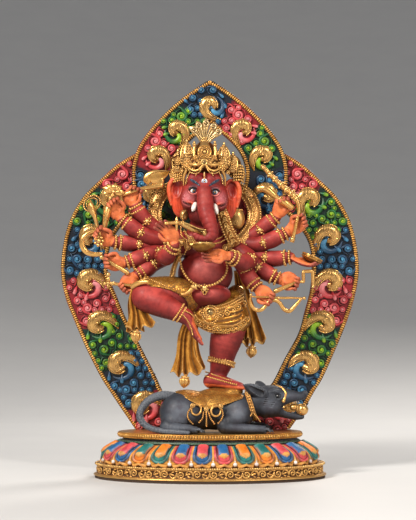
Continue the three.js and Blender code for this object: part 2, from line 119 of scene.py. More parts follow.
def evenly(points, pitch):
    """Points at an even pitch along a polyline, and the direction at each."""
    steps = np.linalg.norm(np.diff(points, axis=0), axis=1)
    travelled = np.concatenate([[0], np.cumsum(steps)])
    count = max(2, int(round(travelled[-1] / pitch)) + 1)
    wanted = np.linspace(0, travelled[-1], count)
    spots = np.stack([np.interp(wanted, travelled, points[:, i]) for i in range(points.shape[1])], 1)
    along = np.gradient(spots, axis=0)
    return spots, along / np.linalg.norm(along, axis=1, keepdims=True)


# ---------------------------------------------------------------- meshes

def make_mesh(name, points, faces, tints):
    """A smooth-shaded mesh from points in millimetres, face arrays and a colour for each point."""
    mesh = bpy.data.meshes.new(name)
    mesh.vertices.add(len(points))
    mesh.vertices.foreach_set("co", (np.asarray(points) * MM).astype(np.float32).ravel())
    sizes = np.concatenate([np.full(len(face), face.shape[1]) for face in faces])
    corners = np.concatenate([face.ravel() for face in faces]).astype(np.int32)
    mesh.loops.add(len(corners))
    mesh.loops.foreach_set("vertex_index", corners)
    mesh.polygons.add(len(sizes))
    starts = np.concatenate([[0], np.cumsum(sizes)[:-1]]).astype(np.int32)
    mesh.polygons.foreach_set("loop_start", starts)
    mesh.polygons.foreach_set("use_smooth", np.ones(len(sizes), bool))
    mesh.update(calc_edges=True)
    tint = mesh.color_attributes.new("Tint", "FLOAT_COLOR", "POINT")
    rgba = np.ones((len(points), 4), np.float32)
    rgba[:, :3] = tints
    tint.data.foreach_set("color", rgba.ravel())
    return mesh


def add_relief(mesh, rounds=8):
    """Stores on each point how far it stands out of its smoothed surroundings, in millimetres."""
    count = len(mesh.vertices)
    points = np.zeros(count * 3, np.float32)
    mesh.vertices.foreach_get("co", points)
    points = points.reshape(-1, 3) / MM
    normals = np.zeros(count * 3, np.float32)
    mesh.vertices.foreach_get("normal", normals)
    edges = np.zeros(len(mesh.edges) * 2, np.int32)
    mesh.edges.foreach_get("vertices", edges)
    ends = edges.reshape(-1, 2)
    start, end = np.concatenate([ends, ends[:, ::-1]]).T
    share = 1 / np.maximum(np.bincount(start, minlength=count), 1)

    def spread(values):
        return np.bincount(start, weights=values[end], minlength=count) * share

    soft = points.astype(float)
    for _ in range(rounds):
        soft = 0.3 * soft + 0.7 * np.stack([spread(soft[:, i]) for i in range(3)], 1)
    relief = np.einsum("ij,ij->i", points - soft, normals.reshape(-1, 3))
    relief = 0.4 * relief + 0.6 * spread(relief)
    attribute = mesh.attributes.new("Relief", "FLOAT", "POINT")
    attribute.data.foreach_set("value", relief.astype(np.float32))


def add_piece(name, mesh, material, node=None, body="statue", slot=None):
    """Puts a mesh in the scene as one piece, which rides on a body and may stand for a CAD node."""
    piece = bpy.data.objects.new(name, mesh)
    bpy.context.scene.collection.objects.link(piece)
    mesh.materials.append(material)
    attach(piece, body)
    if node:
        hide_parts(node)


class Kit:
    """Gathers many small shapes, in millimetres, into one mesh."""

    def __init__(self):
        self.points, self.faces, self.tints, self.count = [], {3: [], 4: []}, [], 0

    def add(self, points, faces, tint):
        """Adds points, the faces between them and a colour for each point, or one for all."""
        for face in faces:
            self.faces[face.shape[1]].append(face + self.count)
        self.points.append(points)
        self.tints.append(np.broadcast_to(tint, (len(points), 3)))
        self.count += len(points)

    def mesh(self, name, relief=0):
        """All that was gathered, as one mesh. relief is what add_relief takes as rounds, or 0 for none."""
        faces = [np.concatenate(group) for group in self.faces.values() if group]
        made = make_mesh(name, np.concatenate(self.points), faces, np.concatenate(self.tints))
        if relief:
            add_relief(made, relief)
        return made

    def piece(self, name, material, relief=0, **where):
        """Puts all that was gathered in the scene. where is what add_piece takes."""
        add_piece(name, self.mesh(name, relief), material, **where)

    def beads(self, centres, radii, tint=GOLD, axes=None, sides=8, rings=5):
        """Round or oval beads. radii is one number, three, or a row for each bead; axes are 3x3 frames."""
        centres = np.atleast_2d(centres).astype(float)
        count = len(centres)
        radii = np.asarray(radii, float)
        radii = np.broadcast_to(radii[:, None] if radii.ndim == 1 and len(radii) != 3 else radii, (count, 3))
        around = np.arange(sides) / sides * 2 * np.pi
        down = np.arange(1, rings) / rings * np.pi
        ball = [[0, 0, 1]]
        for angle in down:
            ball += [[np.sin(angle) * np.cos(a), np.sin(angle) * np.sin(a), np.cos(angle)] for a in around]
        ball = np.array(ball + [[0, 0, -1]])
        quads, ends = [], []
        for i in range(sides):
            j = (i + 1) % sides
            ends.append([0, 1 + i, 1 + j])
            last = 1 + (rings - 2) * sides
            ends.append([len(ball) - 1, last + j, last + i])
            for ring in range(rings - 2):
                top = 1 + ring * sides
                quads.append([top + i, top + sides + i, top + sides + j, top + j])
        local = ball[None] * radii[:, None, :]
        if axes is not None:
            local = np.einsum("nij,nkj->nki", np.broadcast_to(axes, (count, 3, 3)), local)
        shift = (np.arange(count) * len(ball))[:, None, None]
        faces = [(np.array(group)[None] + shift).reshape(-1, len(group[0])) for group in (quads, ends)]
        tint = np.asarray(tint, float)
        if tint.ndim == 2:
            tint = np.repeat(tint, len(ball), axis=0)
        self.add((local + centres[:, None]).reshape(-1, 3), faces, tint)

    def tube(self, path, radii, tint=GOLD, side=(0, -1, 0), thin=1.0, sides=8, samples=None, raw=False):
        """A tube with round ends along a smooth path. thin flattens it towards side, its outer face."""
        path = np.asarray(path, float)
        radii = np.broadcast_to(radii, (len(path),)).astype(float)
        samples = samples or 4 * (len(path) - 1) + 1
        line = np.column_stack([path, radii])
        line = line if raw else smooth_path(line, samples)
        centre, radius = line[:, :3], np.maximum(line[:, 3], 0.02)
        along = np.gradient(centre, axis=0)
        along /= np.linalg.norm(along, axis=1, keepdims=True)
        hint = np.broadcast_to(np.asarray(side, float), centre.shape)
        across = hint - along * np.einsum("ij,ij->i", hint, along)[:, None]
        across /= np.linalg.norm(across, axis=1, keepdims=True)
        other = np.cross(along, across)
        cap = np.array([0.35, 0.8])
        lead = [centre[0] - along[0] * radius[0] * thin * 0.9, centre[0] - along[0] * radius[0] * thin * 0.5]
        tail = [centre[-1] + along[-1] * radius[-1] * thin * 0.5,
            centre[-1] + along[-1] * radius[-1] * thin * 0.9]
        centre = np.vstack([lead, centre, tail])
        pad = [0, 0, *range(len(radius)), -1, -1]
        radius = radius[pad] * np.concatenate([cap, np.ones(len(radius)), cap[::-1]])
        across, other = across[pad], other[pad]
        turn = np.arange(sides) / sides * 2 * np.pi
        ring = (np.cos(turn)[None, :, None] * across[:, None] * thin + np.sin(turn)[None, :, None]
            * other[:, None])
        points = (centre[:, None] + ring * radius[:, None, None]).reshape(-1, 3)
        levels = len(centre)
        points = np.vstack([points, centre[0], centre[-1]])
        i = np.arange(levels - 1)[:, None] * sides + np.arange(sides)
        j = np.arange(levels - 1)[:, None] * sides + (np.arange(sides) + 1) % sides
        quads = np.stack([i, j, j + sides, i + sides], -1).reshape(-1, 4)
        k = np.arange(sides)
        following = (k + 1) % sides
        first = np.stack([following, k, np.full(sides, levels * sides)], 1)
        base = (levels - 1) * sides
        last = np.stack([base + k, base + following, np.full(sides, levels * sides + 1)], 1)
        tint = np.asarray(tint, float)
        if tint.ndim == 2:
            tint = smooth_path(tint, levels).clip(0, 1)
            tint = np.vstack([np.repeat(tint, sides, axis=0), tint[0], tint[-1]])
        self.add(points, [quads, np.vstack([first, last])], tint)

    def stud(self, centres, radii, tint=GOLD_PALE, sides=12):
        """Single rounder beads, finer than those of a string."""
        self.beads(centres, radii, tint, sides=sides, rings=8)

    def bead_string(self, path, radius, tint=GOLD, pitch=1.9, closed=False):
        """Touching round beads along a smooth path."""
        path = np.asarray(path, float)
        if closed:
            path = np.vstack([path, path[:1]])
        spots, _ = evenly(smooth_path(path, 12 * len(path)), pitch * radius)
        self.beads(spots[:-1] if closed else spots, radius, tint, sides=7, rings=4)

    def ring(self, centre, normal, radii, thickness, tint=GOLD, beads=0.0, around=28):
        """A closed hoop about normal, plain or made of beads of radius beads."""
        normal = unit(normal)
        first = unit(np.cross(normal, (0.13, 1, 0.2)))
        second = np.cross(normal, first)
        turn = np.arange(around + 1) / around * 2 * np.pi
        wide, deep = np.broadcast_to(radii, (2,))
        loop = np.asarray(centre) + np.outer(np.cos(turn) * wide, first) + np.outer(np.sin(turn) * deep,
            second)
        if beads:
            spots, _ = evenly(loop, beads * 1.85)
            self.beads(spots[:-1], beads, tint, sides=7, rings=4)
        else:
            self.tube(loop, thickness, tint, side=normal, raw=True)


# ---------------------------------------------------------------- clay

class Clay:
    """A solid as a distance field on a grid, in millimetres. Forms are blended in or carved out."""

    def __init__(self, low, high, voxel=None):
        self.voxel = voxel or VOXEL
        self.low = np.asarray(low, float)
        self.size = (np.ceil((np.asarray(high) - self.low) / self.voxel) + 1).astype(int)
        self.field = np.full(self.size, 6.0, np.float32)

    def window(self, low, high):
        """The part of the grid between two corners, as slices and as its coordinates."""
        start = np.clip(np.floor((low - self.low) / self.voxel).astype(int), 0, self.size - 1)
        stop = np.clip(np.ceil((high - self.low) / self.voxel).astype(int) + 1, start + 1, self.size)
        axes = [self.low[i] + np.arange(start[i], stop[i]) * self.voxel for i in range(3)]
        grid = [axis.astype(np.float32).reshape([-1 if i == j else 1 for j in range(3)])
                for i, axis in enumerate(axes)]
        return tuple(slice(a, b) for a, b in zip(start, stop)), grid

    def mix(self, where, distance, soft, cut):
        """Blends a form into part of the field, or cuts it out, with a fillet of size soft."""
        old = self.field[where]
        if cut:
            blend = np.maximum(soft - np.abs(old + distance), 0)
            self.field[where] = np.maximum(old, -distance) + blend * blend / (4 * soft)
        else:
            blend = np.maximum(soft - np.abs(old - distance), 0)
            self.field[where] = np.minimum(old, distance) - blend * blend / (4 * soft)

    def ball(self, centre, radii, soft, turn=(0, 0, 0), cut=False):
        """An ellipsoid, turned by Euler angles in degrees."""
        radii = np.broadcast_to(radii, (3,)).astype(float)
        rotation = np.array(Matrix.Rotation(math.radians(turn[2]), 3, "Z")
                            @ Matrix.Rotation(math.radians(turn[1]), 3, "Y")
                            @ Matrix.Rotation(math.radians(turn[0]), 3, "X"))
        reach = np.abs(rotation) @ radii + soft + 2 * self.voxel
        centre = np.asarray(centre, float)
        where, grid = self.window(centre - reach, centre + reach)
        offset = [grid[i] - np.float32(centre[i]) for i in range(3)]
        inner, outer = 0, 0
        for axis in range(3):
            value = sum(offset[i] * np.float32(rotation[i, axis]) for i in range(3)) / np.float32(radii[axis])
            inner = inner + value * value
            outer = outer + (value / np.float32(radii[axis])) ** 2
        inner = np.sqrt(inner)
        distance = inner * (inner - 1) / np.maximum(np.sqrt(outer), 1e-6)
        self.mix(where, distance, soft, cut)

    def tube(self, path, radii, soft, flat=None, cut=False, samples=None):
        """A round-ended tube along a smooth path. flat is (axis, ratio), which thins it along an axis."""
        path = np.asarray(path, float)
        radii = np.broadcast_to(radii, (len(path),)).astype(float)
        samples = samples or 4 * (len(path) - 1) + 1
        line = smooth_path(np.column_stack([path, radii]), samples)
        pad = line[:, 3].max() + soft + 2 * self.voxel
        where, _ = self.window(line[:, :3].min(0) - pad, line[:, :3].max(0) + pad)
        shape = tuple(s.stop - s.start for s in where)
        distance = np.full(shape, 6.0, np.float32)
        origin = np.array([s.start for s in where])
        for a, b in zip(line[:-1], line[1:]):
            near = max(a[3], b[3]) + soft + 2 * self.voxel
            part, local = self.window(np.minimum(a[:3], b[:3]) - near, np.maximum(a[:3], b[:3]) + near)
            offset = [local[i] - np.float32(a[i]) for i in range(3)]
            step = b[:3] - a[:3]
            length = max(step @ step, 1e-9)
            share = np.clip(sum(offset[i] * np.float32(step[i]) for i in range(3)) / np.float32(length), 0, 1)
            away = [offset[i] - share * np.float32(step[i]) for i in range(3)]
            square = away[0] ** 2 + away[1] ** 2 + away[2] ** 2
            if flat is not None:
                axis = unit(flat[0])
                lean = sum(away[i] * np.float32(axis[i]) for i in range(3))
                square = square + lean * lean * np.float32(1 / flat[1] ** 2 - 1)
            value = np.sqrt(square) - (a[3] + share * np.float32(b[3] - a[3]))
            inside = tuple(slice(s.start - origin[i], s.stop - origin[i]) for i, s in enumerate(part))
            distance[inside] = np.minimum(distance[inside], value)
        self.mix(where, distance, soft, cut)

    def mesh(self, name, tint, relief=8):
        """The surface as a mesh. tint is a colour, or a function of points and normals."""
        grid = openvdb.FloatGrid(6.0)
        grid.copyFromArray(self.field)
        points, quads = grid.convertToQuads(0.0)
        points = points * self.voxel + self.low
        if callable(tint):
            tint = tint(points.astype(float), face_normals(points, quads))
        made = make_mesh(name, points, [quads.astype(np.int64)], tint)
        add_relief(made, relief)
        return made

    def piece(self, name, tint, material, relief=8, **where):
        """Puts the surface in the scene. where is what add_piece takes."""
        add_piece(name, self.mesh(name, tint, relief), material, **where)


def face_normals(points, quads):
    """A normal for each point, from the quads around it."""
    corners = points[quads].astype(float)
    normal = np.cross(corners[:, 2] - corners[:, 0], corners[:, 3] - corners[:, 1])
    columns = [np.bincount(quads.ravel(), np.repeat(normal[:, i], 4), len(points)) for i in range(3)]
    total = np.stack(columns, 1)
    return total / np.maximum(np.linalg.norm(total, axis=1, keepdims=True), 1e-9)


def front_of(clay, x, z):
    """Y of a clay's front surface at some X and Z."""
    across = int(round((x - clay.low[0]) / clay.voxel))
    up = int(round((z - clay.low[2]) / clay.voxel))
    column = clay.field[across, :, up]
    inside = np.flatnonzero(column < 0)
    return clay.low[1] + inside[0] * clay.voxel if len(inside) else 0.0


def mixed(one, other, share):
    """A colour for each point between two colours."""
    share = np.clip(np.asarray(share, float), 0, 1)[:, None]
    return np.asarray(one) * (1 - share) + np.asarray(other) * share


# ---------------------------------------------------------------- materials

class Tree:
    """A short way to add nodes to a material."""

    def __init__(self, name):
        self.material = bpy.data.materials.new(name)
        self.material.use_nodes = True
        self.tree = self.material.node_tree
        self.shader = self.tree.nodes["Principled BSDF"]

    def node(self, kind, **inputs):
        """A shader node. Each input is a number, a colour or another node's output."""
        made = self.tree.nodes.new(kind)
        for key, value in inputs.items():
            place = made.inputs[int(key[1:])] if key[0] == "_" else made.inputs[key.replace("_", " ")]
            if isinstance(value, bpy.types.NodeSocket):
                self.tree.links.new(value, place)
            else:
                place.default_value = value
        return made

    def attribute(self, name):
        """A node that reads a named attribute."""
        made = self.node("ShaderNodeAttribute")
        made.attribute_name = name
        return made

    def noise(self, scale, detail=3.0, roughness=0.55, vector=None):
        """Noise between 0 and 1, over a vector where one is given."""
        made = self.node("ShaderNodeTexNoise", Scale=scale, Detail=detail, Roughness=roughness)
        if vector:
            self.tree.links.new(vector, made.inputs["Vector"])
        return made.outputs["Fac"]

    def math(self, operation, one, other=0.0, clamp=False):
        """The output of a math node."""
        made = self.node("ShaderNodeMath", _0=one, _1=other)
        made.operation = operation
        made.use_clamp = clamp
        return made.outputs[0]

    def ramp(self, value, low, high):
        """0 below low, 1 above high and smooth between."""
        made = self.node("ShaderNodeMapRange", Value=value)
        made.interpolation_type = "SMOOTHSTEP"
        made.inputs["From Min"].default_value = low
        made.inputs["From Max"].default_value = high
        return made.outputs["Result"]

    def mix(self, share, one, other, blend="MIX"):
        """A colour between two, by share."""
        made = self.tree.nodes.new("ShaderNodeMix")
        made.data_type = "RGBA"
        made.blend_type = blend
        for place, value in ((0, share), (6, one), (7, other)):
            if isinstance(value, bpy.types.NodeSocket):
                self.tree.links.new(value, made.inputs[place])
            else:
                made.inputs[place].default_value = value if place == 0 else (*value, 1)
        return made.outputs[2]

    def set(self, **inputs):
        """Sets inputs of the surface shader. An underscore in a name stands for a space."""
        for key, value in inputs.items():
            place = self.shader.inputs[key.replace("_", " ")]
            if isinstance(value, bpy.types.NodeSocket):
                self.tree.links.new(value, place)
            else:
                place.default_value = value

    def bump(self, height, distance, strength=1.0):
        """Bumps the surface by a height, which distance turns into metres."""
        made = self.node("ShaderNodeBump", Height=height, Strength=strength, Distance=distance)
        self.set(Normal=made.outputs["Normal"])


def recess(tree, reach):
    """1 in crevices closer than reach, in millimetres, and 0 in the open: ambient occlusion, which the
    materials turn into painted shade.
    """
    shade = tree.node("ShaderNodeAmbientOcclusion", Distance=reach * MM)
    shade.samples = 6
    return tree.math("SUBTRACT", 1.0, shade.outputs["AO"], clamp=True)


def enamel(name, roughness=0.42, dark=0.22, edge=(0.9, 0.75, 0.7), edge_share=0.35, coat=0.25):
    """Hand-laid paint: the points' own colour, recesses darkened partly by a dark paint layer and partly
    by painted shade from ambient occlusion in crevices and between parts, and dry-brushed edges.
    """
    tree = Tree(name)
    tint = tree.attribute("Tint").outputs["Color"]
    relief = tree.attribute("Relief").outputs["Fac"]
    place = tree.node("ShaderNodeTexCoord").outputs["Object"]
    cloud = tree.noise(160.0, 4.0, 0.6, place)
    streak = tree.noise(900.0, 3.0, 0.6, place)
    shaded = tree.mix(tree.ramp(cloud, 0.35, 0.7), tint, tree.mix(1.0, tint, (0.64, 0.56, 0.6), "MULTIPLY"))
    hollow = tree.ramp(tree.math("ADD", relief, tree.math("MULTIPLY", streak, 0.04)), -0.01, -0.14)
    # Painted shade: the colour darkens in crevices, from ambient occlusion.
    crevice_shade = tree.ramp(recess(tree, 2.2), 0.35, 0.85)
    wash_and_shade = tree.math("MAXIMUM", hollow, crevice_shade)
    deep = tree.mix(1.0, tint, (dark, dark * 0.7, dark * 0.7), "MULTIPLY")
    shaded = tree.mix(tree.math("MULTIPLY", wash_and_shade, 0.9), shaded, deep)
    # Painted shade: the colour darkens where parts shelter one another, such as between the arms.
    shade_between_parts = tree.math("MULTIPLY", tree.ramp(recess(tree, 11.0), 0.3, 0.95), 0.72)
    shaded = tree.mix(shade_between_parts, shaded, deep)
    brushed = tree.math("MULTIPLY", tree.ramp(relief, 0.02, 0.2), tree.ramp(streak, 0.35, 0.6))
    shaded = tree.mix(tree.math("MULTIPLY", brushed, edge_share), shaded, edge)
    tree.set(Base_Color=shaded)
    tree.set(Roughness=tree.math("ADD", tree.math("MULTIPLY", streak, 0.2), roughness - 0.1))
    tree.set(Coat_Weight=coat, Coat_Roughness=0.3, Specular_IOR_Level=0.34)
    tree.bump(tree.math("ADD", streak, tree.math("MULTIPLY", cloud, 2.0)), 0.12 * MM, 0.5)
    return tree.material


def gilding(name, roughness=0.3, wash_and_shade=0.9, chased=0.0, swirled=0.0, metal=0.74):
    """Gold paint, brown in the recesses partly from a brown paint layer and partly from painted shade, with
    rubbed edges. chased and swirled add fine tooling.
    """
    tree = Tree(name)
    tint = tree.attribute("Tint").outputs["Color"]
    relief = tree.attribute("Relief").outputs["Fac"]
    place = tree.node("ShaderNodeTexCoord").outputs["Object"]
    cloud = tree.noise(220.0, 4.0, 0.65, place)
    grain = tree.noise(1500.0, 2.0, 0.5, place)
    tone = tree.mix(tree.ramp(cloud, 0.3, 0.7), tint, tree.mix(1.0, tint, (0.6, 0.46, 0.34), "MULTIPLY"))
    hollow = tree.ramp(relief, 0.02, -0.12)
    # Painted shade: the gold darkens in crevices, from ambient occlusion.
    crevice_shade = tree.ramp(recess(tree, 2.6), 0.25, 0.7)
    dirt_and_shade = tree.math("MULTIPLY", tree.math("MAXIMUM", hollow, crevice_shade), wash_and_shade)
    height = tree.math("MULTIPLY", grain, 0.5)
    if chased:
        scroll = tree.node("ShaderNodeTexVoronoi", Scale=chased, Vector=place)
        scroll.feature = "DISTANCE_TO_EDGE"
        line = tree.ramp(scroll.outputs["Distance"], 0.14, 0.02)
        dirt_and_shade = tree.math("MAXIMUM", dirt_and_shade, tree.math("MULTIPLY", line, 0.7))
        height = tree.math("SUBTRACT", height, line)
    if swirled:
        wave = tree.node("ShaderNodeTexWave", Scale=swirled, Distortion=6.0, Detail=0.5, Vector=place)
        wave.inputs["Detail Scale"].default_value = 1.4
        line = tree.ramp(wave.outputs["Fac"], 0.26, 0.06)
        dirt_and_shade = tree.math("MAXIMUM", dirt_and_shade, tree.math("MULTIPLY", line, 0.3))
        height = tree.math("SUBTRACT", height, tree.math("MULTIPLY", line, 0.5))
    # Recesses and tooled lines turn dark brown. In the recesses this is partly a brown paint layer and partly
    # painted shade.
    tone = tree.mix(dirt_and_shade, tone, (0.045, 0.014, 0.004))
    tone = tree.mix(tree.math("MULTIPLY", tree.ramp(relief, 0.05, 0.25), 0.35), tone, (0.95, 0.64, 0.26))
    tree.set(Base_Color=tone)
    tree.set(Metallic=tree.math("SUBTRACT", metal, tree.math("MULTIPLY", dirt_and_shade, 0.6)))
    tree.set(Roughness=tree.math("ADD", roughness, tree.math("MULTIPLY", dirt_and_shade, 0.4)))
    tree.bump(height, 0.14 * MM, 0.7)
    return tree.material


ENAMEL = enamel("halo_enamel", edge=(0.75, 0.8, 0.85), edge_share=0.12)
GILT = gilding("gilding")
RIM_GILT = gilding("rim_gilding", 0.28, 0.25, metal=0.45)
SCROLL_GILT = gilding("scroll_gilding", 0.22, 0.95, swirled=130.0, metal=0.8)


# ---------------------------------------------------------------- halo

# Outlines as X and Z from the top down. The ring's two halves mirror each other. The halo's sides mirror
# each other above, and their feet do not: the first of each pair below stands on the viewer's right.
RING_OUTER = [(0, 346.5), (9, 341.8), (21.4, 333.2), (33.8, 323), (45.8, 311), (55.2, 299.8),
    (62.6, 288.6), (67, 277), (68.8, 266), (68, 250), (64, 237), (53, 223), (30, 211), (0, 207)]
RING_INNER = [(0, 308), (10, 299.6), (18, 292.4), (24.5, 285), (29.2, 276), (31.6, 266), (30.6, 256),
    (27, 247), (18, 238), (0, 234)]
OUTER_TOP = [(58, 287), (80, 274), (95, 261), (113.5, 242), (126, 217), (131.5, 183), (128, 157)]
INNER_TOP = [(48, 240), (66, 230), (82, 213), (89, 197), (90, 176)]
OUTER_FEET = {1: [(120, 132), (110, 108), (99, 84), (91, 71), (84, 59), (70, 39.4)],
              -1: [(118.5, 132), (108, 108), (95.5, 84), (87, 71), (79, 59), (65.5, 39.4)]}
INNER_FEET = {1: [(88, 159), (83.5, 142), (78, 123), (66, 101), (57, 83), (50.5, 73), (31, 39.4)],
              -1: [(82.4, 156), (75, 138), (65.9, 121), (56.7, 103), (47.5, 85), (40, 69), (23, 39.4)]}
RING_FRONT, RING_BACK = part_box("halo_head_ring")[0].y / MM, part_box("halo_head_ring")[1].y / MM
SIDE_FRONT, SIDE_BACK = RING_BACK + 0.4, 24.5
TANG = ((44, 19.6, 31.0), (56, 23.7, 43.0))
RIM = 1.9  # half the width of a beaded rim

# A unit of the relief is a gold comma scroll with curls beside it. Places are (outward, onward) from
# the comma's middle, where onward runs down the halo, and the last number is a size.
CURLS_BEFORE = [("curl", 7.5, -22, 3.2), ("curl", 9, -13, 4.6), ("curl", 13, -3, 3.2), ("curl", 0, -14, 3.0),
                ("curl", -9, -12, 3.4), ("petal", 12.5, 6, 3.0), ("petal", 6.5, 10, 3.0)]
CURLS_AFTER = [("petal", 14.5, 5, 3.4), ("petal", 5.5, 12, 3.6), ("curl", 14.5, 15, 3.4),
    ("curl", -10, 17.5, 3.0), ("curl", -1.5, 20.5, 3.5), ("curl", 7, 23, 4.2), ("curl", 10.5, 34, 3.6)]


def plate_mesh(name, outer, inner, front, back, ground, around=150):
    """A flat ring or band between two lines, slightly dished in front. ground colours the front."""
    across = 10
    outer, inner = (smooth_path(line, around) for line in (outer, inner))
    share = np.linspace(0, 1, across)[None, :, None]
    grid = outer[:, None] * (1 - share) + inner[:, None] * share
    flat = grid.reshape(-1, 2)
    dish = 0.8 * np.sin(np.linspace(0, 1, across) * np.pi)
    depth = np.tile(front + dish, around)
    face = np.column_stack([flat[:, 0], depth, flat[:, 1]])
    rear = np.column_stack([flat[:, 0], np.full(len(flat), back), flat[:, 1]])
    index = np.arange(around * across).reshape(around, across)
    a, b, c, d = index[:-1, :-1], index[1:, :-1], index[1:, 1:], index[:-1, 1:]
    quads = np.stack([a, b, c, d], -1).reshape(-1, 4)
    border = np.concatenate([index[:-1, 0], index[-1, :-1], index[:0:-1, -1], index[0, :0:-1]])
    following = np.roll(border, -1)
    total = len(flat)
    wall = np.stack([border, border + total, following + total, following], 1)
    tints = np.vstack([ground(flat), np.tile(srgb(64, 34, 26), (total, 1))])
    faces = [np.vstack([quads, quads[:, ::-1] + total, wall])]
    return make_mesh(name, np.vstack([face, rear]), faces, tints)


def add_tang(kit, side):
    """The plain tongue under one side of the halo, which stands in a socket in the pedestal."""
    low, high = (np.array(corner, float) for corner in TANG)
    middle = (low + high) / 2
    line = [(middle[0] * side, middle[1], z) for z in (low[2] + 1.0, low[2] + 3.0, middle[2], high[2] - 1.0)]
    kit.tube(line, (5.4, 5.9, 5.9, 5.9), srgb(120, 76, 40), thin=0.33, sides=20)


def build_rivets():
    """The two rivets that hold the ring to the halo's sides, with hammered heads on the back."""
    for label in ("right", "left"):
        low, high = (np.array(corner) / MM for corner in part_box(f"halo_{label}_rivet"))
        x, z = (low[0] + high[0]) / 2, (low[2] + high[2]) / 2
        kit = Kit()
        kit.tube([(x, low[1] + 0.4, z), (x, high[1] - 1.2, z)], 1.55, GOLD * 0.7, side=(1, 0, 0), sides=14)
        kit.beads((x, high[1] - 0.8, z), (2.9, 0.95, 2.9), GOLD, sides=18, rings=8)
        kit.ring((x, high[1] - 1.0, z), (0, 1, 0), 2.5, 0.35, GOLD * 0.8)
        kit.piece(f"{label}_rivet", GILT, 3, node=f"halo_{label}_rivet", body="halo")


# The chased lines on a comma's face, as (outward, onward).
COMMA_CHASING = [[(4.4, 2.6), (6.4, 0.4), (5.6, -3.2), (2.0, -4.6), (-0.6, -2.4), (1.0, -0.2)],
                 [(1.8, 4.8), (6.6, 4.8), (9.4, 0.8), (8.4, -4.8), (2.4, -8.0), (-3.4, -7.4)],
                 [(-3.4, -4.2), (-6.4, -2.4), (-8.8, 0.8), (-10.6, 5.6)],
                 [(-3.2, -1.4), (-6.0, 1.4), (-8.4, 4.4), (-11, 9)]]


